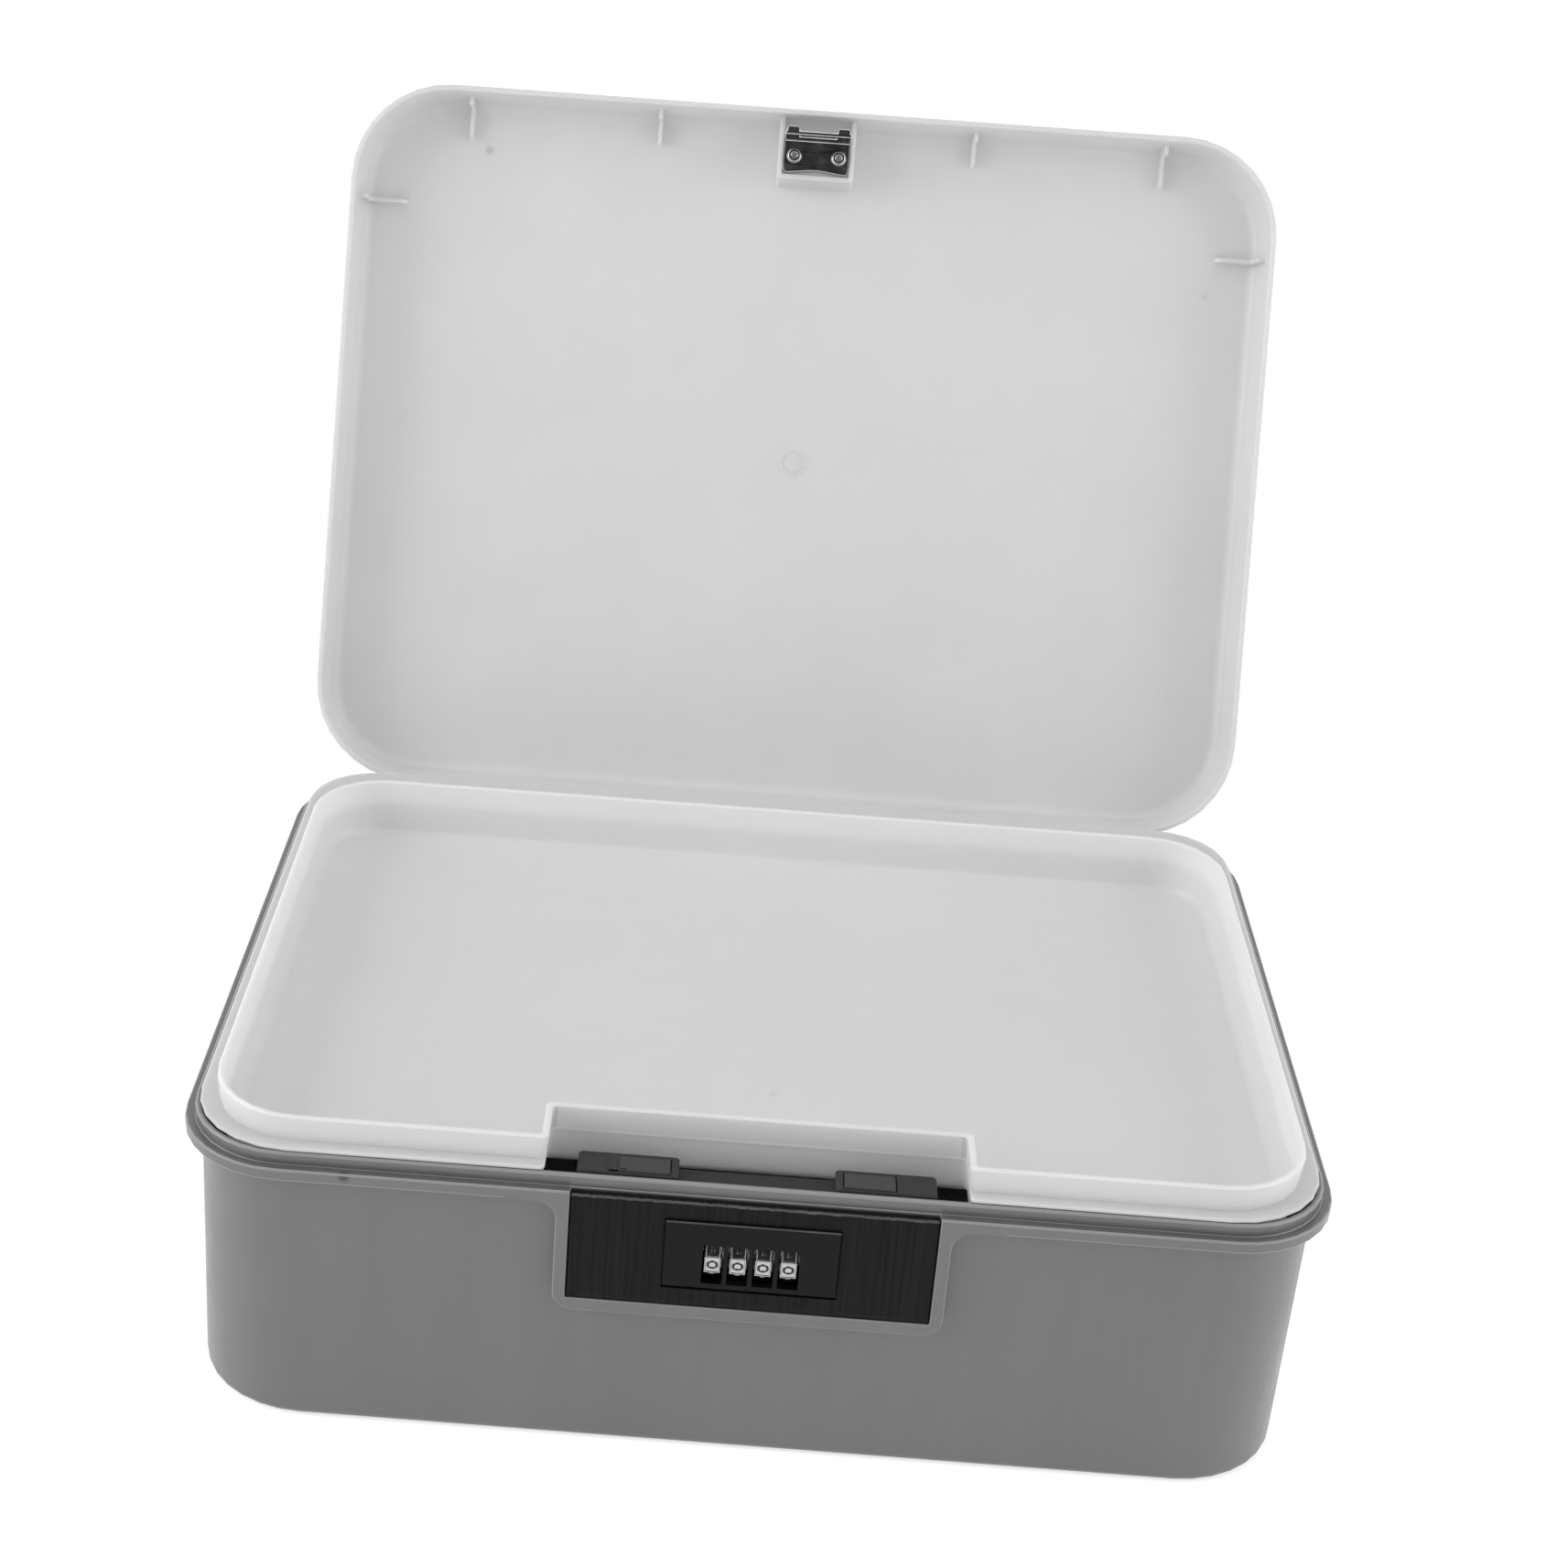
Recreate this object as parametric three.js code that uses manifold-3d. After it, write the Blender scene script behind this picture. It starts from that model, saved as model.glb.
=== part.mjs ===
// Medication lock box: a moulded case with a lift-out tray, a hinged lid and a number lock.
// Millimetres, +Z up. The origin is the middle of the underside, and -Y is the front.
// The lid is shown open, as far back as its stop.
import * as THREE from 'three';
import { mergeVertices } from 'three/addons/utils/BufferGeometryUtils.js';
import Module from 'manifold-3d';

const wasm = await Module();
wasm.setup();

// Shared
const gap = 0.3;                  // between pieces that seat or slide on each other
const overrun = 2;                // how far a cut runs past the face it opens
const cornerSteps = 8;            // points on a large corner
const edgeSteps = 3;              // points on a small rounded edge

// Case, outside
const boxWidth = 330;             // over the collar
const boxDepth = 248;
const ledgeHeight = 88;           // from the base to the ledge that the lid's lip meets
const collarRadius = 31;
const collarHeight = 3.7;
const collarOverhang = 4.4;       // collar past the wall below it
const wallRadius = 29.3;          // the wall's corners just under the collar
const baseInset = 4.6;            // base inside the collar, from the wall's draft
const baseRadius = 32.5;
const baseRound = 2.6;
const collarEdge = 0.35;          // rounding of the collar's two outer edges

// Case, inside
const caseWall = 2.4;
const caseFloor = 2.6;
const floorRound = 4;

// Upright rim inside the ledge
const ledgeWidth = 2.9;
const rimThickness = 1.8;
const rimHeight = 4.1;            // above the ledge
const rimCrown = 0.5;             // rounding of its top

// Raised band round the lock's face plate
const plateMargin = 0.2;          // face plate past the housing at each side
const plateHeight = 34.7;
const plateDrop = 0.6;            // its top edge below the ledge
const plateThickness = 2.4;
const plateEdge = 0.5;
const bandSide = 3.5;
const bandFoot = 4.3;
const bandRadius = 5.5;
const bandFillet = 6;             // where the band runs into the collar
const bandShoulder = 16;          // how far the band's outline runs on behind the collar
const seatWidth = 4;              // border of wall that the plate rests on
const seatThickness = 2.3;

// Hinge
const openAngle = 112;            // degrees from shut to the stop
const hingeBack = 2.2;            // axis behind the collar
const hingeDrop = 1.5;            // axis below the ledge
const hingeInset = 70;            // middle of each hinge from the side of the collar
const knuckleRadius = 3.4;
const knuckleLength = 10;         // each of the two on the case
const lugLength = 19.4;           // the one on the lid
const pinRadius = 1.5;
const pinHead = 0.9;              // pin past the outer knuckles
const knuckleSides = 24;

// Lid
const lidOverhang = 1.3;          // past the collar, all round
const lidRadius = 35;
const lidHeight = 21;             // lip to top
const lidWall = 2;
const lidTop = 2;
const lidDraft = 0.9;
const lidEdge = 3.2;
const lidInnerRound = 4.5;
const lipEdge = 0.4;

// Gusset ribs inside the lid
const ribThickness = 1.4;
const ribLongOut = 125.5;         // outer pair of the front ribs, from the middle
const ribLongIn = 57;             // inner pair
const ribSideBack = 84.5;         // side ribs, towards the front from the middle
const ribTallDepth = 3.6;         // step next to the skirt
const ribTallDrop = 12.2;         // below the ceiling
const ribLowDrop = 4.2;
const ribReachOuter = 14.5;
const ribReachInner = 11.5;
const ribReachSide = 18.5;
const ribRound = 1.2;

// Gate mark in the middle of the lid
const gateRadius = 3;
const gateRing = 4.6;
const gateRingWidth = 0.35;
const gateHeight = 0.35;

// Boss that carries the strike
const bossWidth = 27.4;
const bossRear = 22.7;            // its rear face behind the collar's front
const bossWall = 1.6;
const bossRim = 6.3;              // its rim above the ledge when shut
const bossFloor = 2.4;            // its floor above the rim when shut
const bossEdge = 1.0;

// Strike
const strikeThickness = 1.3;
const strikeFlangeBack = 8.9;     // flange's rear face behind the collar's front
const strikeBaseLength = 11.6;
const strikeReach = 6.7;          // flange below the ledge when shut
const strikeBar = 2.1;            // bar under the window
const strikeWindowWidth = 13.4;
const strikeWindowHeight = 3.9;
const strikeTabWidth = 4.4;
const strikeTabInset = 0.6;       // tab from the flange's end
const strikeTabReach = 1.6;
const strikeHollow = 1.4;         // dip of the base's rear edge
const strikeCorner = 1.6;
const strikeScrewSpread = 8;
const strikeScrewBack = 5.5;      // screws behind the flange's rear face

// Screws
const screwHeadRadius = 2.75;
const screwHeadHeight = 1.9;
const screwHeadEdge = 0.6;
const screwSocketRadius = 1.2;
const screwSocketDepth = 1.0;
const strikeScrewRadius = 1.3;
const strikeScrewLength = 6;
const caseScrewRadius = 1.2;
const caseScrewLength = 8;
const screwSides = 16;

// Tray
const traySideInset = 9;          // its wall inside the collar
const trayFrontInset = 6.8;
const trayRearInset = 25;
const trayFrontRadius = 26;
const trayRearRadius = 24;
const trayRim = 13.2;             // rim above the ledge
const trayFloor = 5.5;            // floor below the ledge
const trayWall = 1.9;
const trayDraft = 1.5;
const trayBottomRound = 3;
const trayRimRound = 0.6;
const flangeThickness = 1.5;
const flangeInset = 3.6;          // inside the collar
const flangeEdge = 0.5;
const notchRoom = 8.1;            // beside the lock's housing
const notchInset = 23.5;          // notch wall behind the collar's front
const notchRound = 1.6;
const notchStep = 0.2;            // flange past the notch's wall

// Lock: button and wheels
const panelWidth = 49;
const panelHeight = 22.7;
const panelDrop = 6.6;            // its top below the ledge
const panelProud = 1;
const panelFace = 1.6;
const panelSkirt = 2.4;           // depth of the skirt under the wheels
const panelWall = 1.5;
const panelFootWall = 1.2;
const panelEdge = 0.35;
const buttonFlangeThickness = 1.3;
const buttonFlangeWidth = 1.5;
const buttonTravel = 2.5;
const armSpread = 5;
const armWidth = 4;
const armHeight = 2.2;
const armLength = 5.2;
const armDrop = 0.8;              // arm's top under the panel's top
const wheelCount = 4;
const wheelPitch = 7.15;
const wheelRadius = 8.7;          // over the corners
const wheelFacets = 10;
const wheelWidth = 5.2;
const wheelBore = 4.9;
const wheelEdge = 0.35;
const wheelDrop = 20.4;           // axis below the ledge
const wheelSink = 1.5;            // front facet behind the panel's face
const windowWidth = 5.9;
const windowHeight = 12;
const windowFlare = 1.6;
const hubRadius = 4.6;
const hubFlangeRadius = 5.6;
const hubFlangeWidth = 1;
const hubGateWidth = 1.6;
const hubGateDepth = 1.2;
const shaftRadius = 2;
const shaftEnd = 1;               // shaft past the cheeks
const roundSides = 24;

// Lock: housing
const housingHalfWidth = 50.8;
const housingDepth = 12.4;
const housingHeight = 36;         // below the ledge
const housingWall = 1.6;
const deckHeight = 6;             // shallower block on top
const deckDepth = 10.2;
const ceilingDrop = 7.5;          // lower cavity's ceiling below the ledge
const towerSetback = 0.3;         // tower's end from the housing's
const towerLength = 28.5;
const towerHeight = 4;
const towerEdge = 0.5;
const towerCorner = 0.9;
const buttonBay = 0.9;            // room round the button's flange
const cheekThickness = 1.8;
const springSeatThickness = 1.5;
const springSeatHeight = 6.2;
const springLength = 7.6;
const postSize = 6.6;
const postHoleDepth = 9;
const platePostRadius = 2;
const platePostSide = 11;         // from the face plate's end
const platePostInset = 5;         // from the seat opening's top and bottom
const coverThickness = 1.5;
const coverCorner = 2;

// Lock: bolt
const slotHalfWidth = 13;
const slotDepth = 3.9;
const slotDrop = 8;
const noseHalfWidth = 6;
const noseHeight = 2.8;
const noseDrop = 1.5;
const noseRamp = 2.1;             // depth of the slope that the strike pushes on
const noseTipHeight = 0.3;
const noseReach = 0.5;            // nose past the strike's front face
const legHalfWidth = 8;
const legThickness = 1.5;
const legDrop = 10.9;
const channelHalfWidth = 9;
const fenceThickness = 1.5;
const fenceHeight = 2.3;
const fingerWidth = 0.9;
const fingerDrop = 14.9;
const fenceEnd = 0.5;             // bar past its outer fingers

// Lock: springs
const springWire = 0.5;
const springRadius = 1.7;
const springTurns = 5;
const springStepsPerTurn = 8;
const springSides = 5;
const leafThickness = 0.5;
const leafWidth = 3.4;
const leafRun = 6;
const leafStrip = 2.2;
const leafClearance = 0.5;

// Lock: insets of the towers
const insetFromTower = 2.4;       // from the tower's inner end
const insetLength = 14.5;
const insetFrontWall = 0.7;          // tower's wall in front of it
const insetHalfDepth = 3.65;
const insetHeight = 1.6;
const insetFoot = 0.6;             // reach of the foot under the tower's rear wall
const insetFootHeight = 0.5;
const insetProud = 0.3;
const insetEdge = 0.3;
const sliderTravel = 2.4;
const nubRadius = 0.9;
const nubHeight = 0.5;

// Places worked out from the sizes above
const frontFace = -boxDepth / 2;
const plateHalf = housingHalfWidth + plateMargin;
const platePostSpread = plateHalf - platePostSide;
const hingeSpread = boxWidth / 2 - hingeInset;
const trayHalfWidth = boxWidth / 2 - traySideInset;
const trayFront = boxDepth / 2 - trayFrontInset;
const trayRear = boxDepth / 2 - trayRearInset;
const notchHalfWidth = housingHalfWidth + notchRoom;
const notchFace = boxDepth / 2 - notchInset;
const towerOuter = housingHalfWidth - towerSetback;
const towerInner = towerOuter - towerLength;
const insetInner = towerInner + insetFromTower;
const hingeY = boxDepth / 2 + hingeBack;
const hingeZ = ledgeHeight - hingeDrop;
const rimInset = ledgeWidth + rimThickness;
const plateTop = ledgeHeight - plateDrop;
const plateFoot = plateTop - plateHeight;
const plateBack = frontFace + plateThickness;
const seatFace = plateBack + gap;
const seatBack = seatFace + seatThickness;
const housingFront = seatBack + gap;
const housingRear = housingFront + housingDepth;
const housingFoot = ledgeHeight - housingHeight;
const deckRear = housingFront + deckDepth;
const cavityFront = housingFront + housingWall;
const cavityTop = ledgeHeight - ceilingDrop;
const lipZ = ledgeHeight + gap;
const lidTopZ = lipZ + lidHeight;
const ceilingZ = lidTopZ - lidTop;
const skirtFront = frontFace - lidOverhang + lidWall;
const flangeFront = frontFace + strikeFlangeBack - strikeThickness;
const flangeBack = frontFace + strikeFlangeBack;
const strikeBottom = ledgeHeight - strikeReach;
const bossRimZ = ledgeHeight + bossRim;
const bossFloorZ = bossRimZ + bossFloor;
const strikeBaseTop = bossFloorZ - gap;
const strikeBaseBottom = strikeBaseTop - strikeThickness;
const strikeHalfWidth = bossWidth / 2 - bossWall - gap;
const panelTop = ledgeHeight - panelDrop;
const panelFoot = panelTop - panelHeight;
const panelFront = frontFace - panelProud;
const buttonBack = plateBack + gap + buttonFlangeThickness;
const wheelY = panelFront + wheelSink + wheelRadius * Math.cos(Math.PI / wheelFacets);
const wheelZ = ledgeHeight - wheelDrop;
const legFront = buttonBack + armLength + gap;
const legBack = legFront + legThickness;
const noseTip = flangeFront - noseReach;
const noseTop = ledgeHeight - noseDrop;
const legFoot = ledgeHeight - legDrop;
const fenceFront = legBack + gap;
const springX = panelWidth / 2 - panelWall / 2 + gap;
const springZ = (panelTop + panelFoot) / 2;
const springFront = buttonBack + gap;
const springBack = springFront + springLength;
const towerTop = ledgeHeight + towerHeight;
const insetTop = towerTop + insetProud;
const insetY = housingFront + insetFrontWall + gap + insetHalfDepth;
const coverFront = housingRear + gap;
const coverRear = coverFront + coverThickness;
const postX = housingHalfWidth - housingWall - postSize / 2;
const postHigh = cavityTop - postSize / 2;
const postLow = housingFoot + housingWall + postSize / 2;

// Colours, as roughness and metalness of each kind of surface
const finishes = {
  grey: { color: 0x7b7b7b, roughness: 0.55, metalness: 0 },
  white: { color: 0xd6d6d6, roughness: 0.5, metalness: 0 },
  pale: { color: 0xcdcdcd, roughness: 0.5, metalness: 0 },
  black: { color: 0x262626, roughness: 0.5, metalness: 0 },
  charcoal: { color: 0x444444, roughness: 0.55, metalness: 0 },
  steel: { color: 0xb8b8b8, roughness: 0.3, metalness: 1 },
  chrome: { color: 0xdddddd, roughness: 0.12, metalness: 1 },
};

// Turns a closed geometry into a solid that can be cut and joined.
function solid(geometry) {
  const bare = geometry.clone();
  bare.deleteAttribute('normal');
  bare.deleteAttribute('uv');
  const welded = mergeVertices(bare, 1e-5);
  const vertProperties = new Float32Array(welded.attributes.position.array);
  const triVerts = new Uint32Array(welded.index.array);
  return new wasm.Manifold(new wasm.Mesh({ numProp: 3, vertProperties, triVerts }));
}

// Turns a solid back into a geometry.
function geometryOf(whole) {
  const mesh = whole.getMesh();
  const geometry = new THREE.BufferGeometry();
  geometry.setAttribute('position', new THREE.BufferAttribute(mesh.vertProperties, 3));
  geometry.setIndex(new THREE.BufferAttribute(mesh.triVerts, 1));
  geometry.computeVertexNormals();
  return geometry;
}

function join(parts) {
  return parts.reduce((whole, part) => whole.add(part));
}

function cut(whole, parts) {
  return parts.reduce((rest, part) => rest.subtract(part), whole);
}

// A corner of an outline is [x, y, radius]. Each one with a radius becomes an arc.
function outline(corners, steps) {
  const points = [];
  corners.forEach(([x, y, radius], index) => {
    const here = new THREE.Vector2(x, y);
    if (radius === 0) {
      points.push(here);
      return;
    }
    const last = corners[(index + corners.length - 1) % corners.length];
    const next = corners[(index + 1) % corners.length];
    const way = new THREE.Vector2(x - last[0], y - last[1]).normalize();
    const onward = new THREE.Vector2(next[0] - x, next[1] - y).normalize();
    const turn = Math.atan2(way.cross(onward), way.dot(onward));
    const start = here.clone().addScaledVector(way, -radius * Math.tan(Math.abs(turn) / 2));
    const side = Math.sign(turn);
    const centre = start.clone().add(new THREE.Vector2(-way.y, way.x).multiplyScalar(side * radius));
    for (let step = 0; step <= steps; step += 1) {
      points.push(start.clone().rotateAround(centre, (turn * step) / steps));
    }
  });
  return points;
}

function rectangle(left, right, low, high, radius, steps) {
  const corners = [[left, low], [right, low], [right, high], [left, high]];
  return outline(corners.map(([x, y]) => [x, y, radius]), steps);
}

// Skins a stack of rings, each { points, z }, and closes the first and the last.
// Rings run anticlockwise seen from above, up the outside of a shell and down its inside.
function loft(rings) {
  const count = rings[0].points.length;
  const positions = [];
  const index = [];
  rings.forEach(({ points, z }) => points.forEach((point) => positions.push(point.x, point.y, z)));
  for (let level = 0; level + 1 < rings.length; level += 1) {
    for (let at = 0; at < count; at += 1) {
      const beside = (at + 1) % count;
      const here = level * count;
      const above = here + count;
      index.push(here + at, here + beside, above + beside, here + at, above + beside, above + at);
    }
  }
  const top = (rings.length - 1) * count;
  THREE.ShapeUtils.triangulateShape(rings[0].points, []).forEach(([a, b, c]) => index.push(a, c, b));
  THREE.ShapeUtils.triangulateShape(rings.at(-1).points, []).forEach(([a, b, c]) => {
    index.push(top + a, top + b, top + c);
  });
  const geometry = new THREE.BufferGeometry();
  geometry.setAttribute('position', new THREE.Float32BufferAttribute(positions, 3));
  geometry.setIndex(index);
  return geometry;
}

// Quarter-round between two places, as { inset, z } pairs. Its bulge follows the first leg.
function quarter(from, to, steps) {
  const places = [];
  for (let step = 0; step <= steps; step += 1) {
    const turn = (Math.PI / 2) * (step / steps);
    places.push({
      inset: to.inset + (from.inset - to.inset) * Math.cos(turn),
      z: from.z + (to.z - from.z) * Math.sin(turn),
    });
  }
  return places;
}

function block(low, high) {
  const size = high.map((value, axis) => value - low[axis]);
  const geometry = new THREE.BoxGeometry(...size);
  return geometry.translate(...low.map((value, axis) => value + size[axis] / 2));
}

function blockSolid(low, high) {
  return solid(block(low, high));
}

// Block with rounded upright corners and chamfered top and bottom edges.
function softBlock(low, high, radius, edge, lowEdge = edge) {
  const ring = (inset, z) => ({
    points: rectangle(low[0] + inset, high[0] - inset, low[1] + inset, high[1] - inset, radius, edgeSteps),
    z,
  });
  const foot = lowEdge > 0 ? [ring(lowEdge, low[2])] : [];
  const head = edge > 0 ? [ring(edge, high[2])] : [];
  return loft([...foot, ring(0, low[2] + lowEdge), ring(0, high[2] - edge), ...head]);
}

// Stands a geometry that was made lying down: its up becomes the front, and its y becomes height.
function facingFront(geometry, back) {
  return geometry.rotateX(Math.PI / 2).translate(0, back, 0);
}

// Prism of an outline in x and z, from one depth to another.
function frontPrism(points, front, back) {
  const shape = new THREE.Shape(points);
  const geometry = new THREE.ExtrudeGeometry(shape, { depth: back - front, bevelEnabled: false });
  return solid(facingFront(geometry, back));
}

// Prism of an outline in y and z, centred on x.
function sidePrism(points, x, width) {
  const shape = new THREE.Shape(points);
  const geometry = new THREE.ExtrudeGeometry(shape, { depth: width, bevelEnabled: false });
  geometry.translate(0, 0, -width / 2).rotateY(Math.PI / 2).rotateX(Math.PI / 2);
  return solid(geometry.translate(x, 0, 0));
}

function rodAlongX(radius, from, to, y, z, sides) {
  const geometry = new THREE.CylinderGeometry(radius, radius, to - from, sides);
  return solid(geometry.rotateZ(Math.PI / 2).translate((from + to) / 2, y, z));
}

function rodAlongY(radius, from, to, x, z, sides) {
  const geometry = new THREE.CylinderGeometry(radius, radius, to - from, sides);
  return solid(geometry.translate(x, (from + to) / 2, z));
}

function rodAlongZ(radius, from, to, x, y, sides) {
  const geometry = new THREE.CylinderGeometry(radius, radius, to - from, sides);
  return solid(geometry.rotateX(Math.PI / 2).translate(x, y, (from + to) / 2));
}

// Outline of the case, set in from the collar.
function caseRing(inset, z, radius) {
  const halfX = boxWidth / 2 - inset;
  const halfY = boxDepth / 2 - inset;
  return { points: rectangle(-halfX, halfX, -halfY, halfY, radius, cornerSteps), z };
}

// Hollow moulding from the base up to the rim and down to its floor.
function caseMoulding() {
  const wallTop = ledgeHeight - collarHeight;
  const innerInset = baseInset + caseWall;
  const rings = [];
  quarter({ inset: baseInset, z: baseRound }, { inset: baseInset + baseRound, z: 0 }, edgeSteps)
    .reverse()
    .forEach(({ inset, z }) => rings.push(caseRing(inset, z, baseRadius - (inset - baseInset))));
  rings.push(caseRing(collarOverhang, wallTop, wallRadius));
  rings.push(caseRing(collarEdge, wallTop, collarRadius - collarEdge));
  rings.push(caseRing(0, wallTop + collarEdge, collarRadius));
  rings.push(caseRing(0, ledgeHeight - collarEdge, collarRadius));
  rings.push(caseRing(collarEdge, ledgeHeight, collarRadius - collarEdge));
  rings.push(caseRing(ledgeWidth, ledgeHeight, collarRadius - ledgeWidth));
  const rimTop = ledgeHeight + rimHeight;
  rings.push(caseRing(ledgeWidth, rimTop - rimCrown, collarRadius - ledgeWidth));
  rings.push(caseRing(ledgeWidth + rimCrown, rimTop, collarRadius - ledgeWidth - rimCrown));
  rings.push(caseRing(rimInset - rimCrown, rimTop, collarRadius - rimInset + rimCrown));
  rings.push(caseRing(rimInset, rimTop - rimCrown, collarRadius - rimInset));
  rings.push(caseRing(rimInset, ledgeHeight, collarRadius - rimInset));
  rings.push(caseRing(collarOverhang + caseWall, wallTop, wallRadius - caseWall));
  const floorEdge = { inset: innerInset, z: caseFloor + floorRound };
  quarter(floorEdge, { inset: innerInset + floorRound, z: caseFloor }, edgeSteps)
    .forEach(({ inset, z }) => rings.push(caseRing(inset, z, baseRadius - (inset - baseInset))));
  return solid(loft(rings));
}

// Raised band that frames the lock's face plate and runs up into the collar.
function lockBand() {
  const side = plateHalf + bandSide;
  const shoulder = side + bandShoulder;
  const collarFoot = ledgeHeight - collarHeight;
  const buried = ledgeHeight - collarHeight / 2;
  const foot = plateFoot - bandFoot;
  const points = outline([
    [-shoulder, collarFoot, 0],
    [-side, collarFoot, bandFillet],
    [-side, foot, bandRadius],
    [side, foot, bandRadius],
    [side, collarFoot, bandFillet],
    [shoulder, collarFoot, 0],
    [shoulder, buried, 0],
    [-shoulder, buried, 0],
  ], edgeSteps * 2);
  return frontPrism(points, frontFace, seatBack + gap);
}

function plateRecess() {
  const half = plateHalf + gap;
  const recess = block([-half, frontFace - overrun, plateFoot - gap], [half, seatFace, ledgeHeight + gap]);
  const openHalf = plateHalf - seatWidth;
  const opening = block(
    [-openHalf, seatFace - overrun, plateFoot + seatWidth],
    [openHalf, seatBack + overrun, plateTop - seatWidth],
  );
  const housingRoom = block(
    [-housingHalfWidth - gap, seatBack, housingFoot - gap],
    [housingHalfWidth + gap, deckRear, ledgeHeight - plateDrop],
  );
  return [solid(recess), solid(opening), solid(housingRoom)];
}

// Two knuckles on the case for each hinge, and the room that the lid's lug turns in.
function caseKnuckles(side) {
  const middle = side * hingeSpread;
  const inner = lugLength / 2 + gap;
  const outer = inner + knuckleLength;
  const wallBack = boxDepth / 2 - collarOverhang - gap;
  return [-1, 1].map((end) => {
    const from = middle + Math.min(end * inner, end * outer);
    const to = middle + Math.max(end * inner, end * outer);
    const barrel = rodAlongX(knuckleRadius, from, to, hingeY, hingeZ, knuckleSides);
    const arm = blockSolid([from, wallBack, hingeZ - knuckleRadius], [to, hingeY, ledgeHeight - gap]);
    return barrel.add(arm);
  });
}

function lugRoom(side) {
  const middle = side * hingeSpread;
  const half = lugLength / 2 + gap;
  const reach = knuckleRadius + gap;
  return blockSolid(
    [middle - half, hingeY - reach, hingeZ - reach],
    [middle + half, hingeY + reach, ledgeHeight + gap],
  );
}

function pinBore(side, reachPast) {
  const half = lugLength / 2 + gap + knuckleLength + reachPast;
  const middle = side * hingeSpread;
  return rodAlongX(pinRadius + gap, middle - half, middle + half, hingeY, hingeZ, knuckleSides);
}

function bodyShell() {
  const shell = join([caseMoulding(), lockBand()]);
  const recessed = cut(shell, [...plateRecess(), lugRoom(-1), lugRoom(1)]);
  const hinged = join([recessed, ...caseKnuckles(-1), ...caseKnuckles(1)]);
  return cut(hinged, [pinBore(-1, overrun), pinBore(1, overrun)]);
}

function hingePin(side) {
  const half = lugLength / 2 + gap + knuckleLength + pinHead;
  const middle = side * hingeSpread;
  return rodAlongX(pinRadius, middle - half, middle + half, hingeY, hingeZ, knuckleSides);
}

// Outline of the lid, set in from its lip. The lid is built shut.
function lidRing(inset, z) {
  const halfX = boxWidth / 2 + lidOverhang - inset;
  const halfY = boxDepth / 2 + lidOverhang - inset;
  return { points: rectangle(-halfX, halfX, -halfY, halfY, lidRadius - inset, cornerSteps), z };
}

function lidMoulding() {
  const rings = [];
  const innerTop = { inset: lidWall + lidDraft, z: ceilingZ - lidInnerRound };
  quarter(innerTop, { inset: innerTop.inset + lidInnerRound, z: ceilingZ }, edgeSteps)
    .reverse()
    .forEach(({ inset, z }) => rings.push(lidRing(inset, z)));
  rings.push(lidRing(lidWall, lipZ + lipEdge));
  rings.push(lidRing(lidWall - lipEdge, lipZ));
  rings.push(lidRing(lipEdge, lipZ));
  rings.push(lidRing(0, lipZ + lipEdge));
  quarter({ inset: lidDraft, z: lidTopZ - lidEdge }, { inset: lidDraft + lidEdge, z: lidTopZ }, edgeSteps)
    .forEach(({ inset, z }) => rings.push(lidRing(inset, z)));
  return solid(loft(rings));
}

// Stepped gusset: tall beside the skirt, low further in. Its outline runs from the skirt inwards.
function ribOutline(reach) {
  const top = ceilingZ + lidTop / 2;
  const root = -lidWall / 2;
  return outline([
    [root, ceilingZ - ribTallDrop, 0],
    [ribTallDepth, ceilingZ - ribTallDrop, ribRound],
    [ribTallDepth, ceilingZ - ribLowDrop, ribRound],
    [reach, ceilingZ - ribLowDrop, ribRound * 2],
    [reach, top, 0],
    [root, top, 0],
  ], edgeSteps);
}

function frontRib(x, reach) {
  const points = ribOutline(reach).map((point) => new THREE.Vector2(skirtFront + point.x, point.y));
  return sidePrism(points, x, ribThickness);
}

function sideRib(side) {
  const skirt = boxWidth / 2 + lidOverhang - lidWall;
  const inward = ribOutline(ribReachSide);
  const points = inward.map((point) => new THREE.Vector2(side * (skirt - point.x), point.y));
  const wound = side > 0 ? points.reverse() : points;
  const middle = -ribSideBack;
  return frontPrism(wound, middle - ribThickness / 2, middle + ribThickness / 2);
}

// Open box that the strike sits in, with screw holes in its floor.
function strikeBoss() {
  const half = bossWidth / 2;
  const rear = frontFace + bossRear;
  const low = [-half, skirtFront - lidWall / 2, bossRimZ];
  const box = softBlock(low, [half, rear, ceilingZ + lidTop / 2], bossEdge, 0, 0);
  const pocket = blockSolid(
    [-half + bossWall, skirtFront, bossRimZ - overrun],
    [half - bossWall, rear - bossWall, bossFloorZ],
  );
  const holes = [-1, 1].map((side) => rodAlongZ(
    strikeScrewRadius + gap,
    bossFloorZ - overrun,
    strikeBaseBottom + strikeScrewLength + gap,
    side * strikeScrewSpread,
    flangeBack + strikeScrewBack,
    screwSides,
  ));
  return { box: solid(box), cuts: [pocket, ...holes] };
}

// Disc and ring left where the lid was filled.
function gateMark() {
  const low = ceilingZ - gateHeight;
  const high = ceilingZ + lidTop / 2;
  const disc = rodAlongZ(gateRadius, low, high, 0, 0, roundSides);
  const outer = rodAlongZ(gateRing, low, high, 0, 0, roundSides);
  const inner = rodAlongZ(gateRing - gateRingWidth, low - overrun, high + overrun, 0, 0, roundSides);
  return [disc, outer.subtract(inner)];
}

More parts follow.
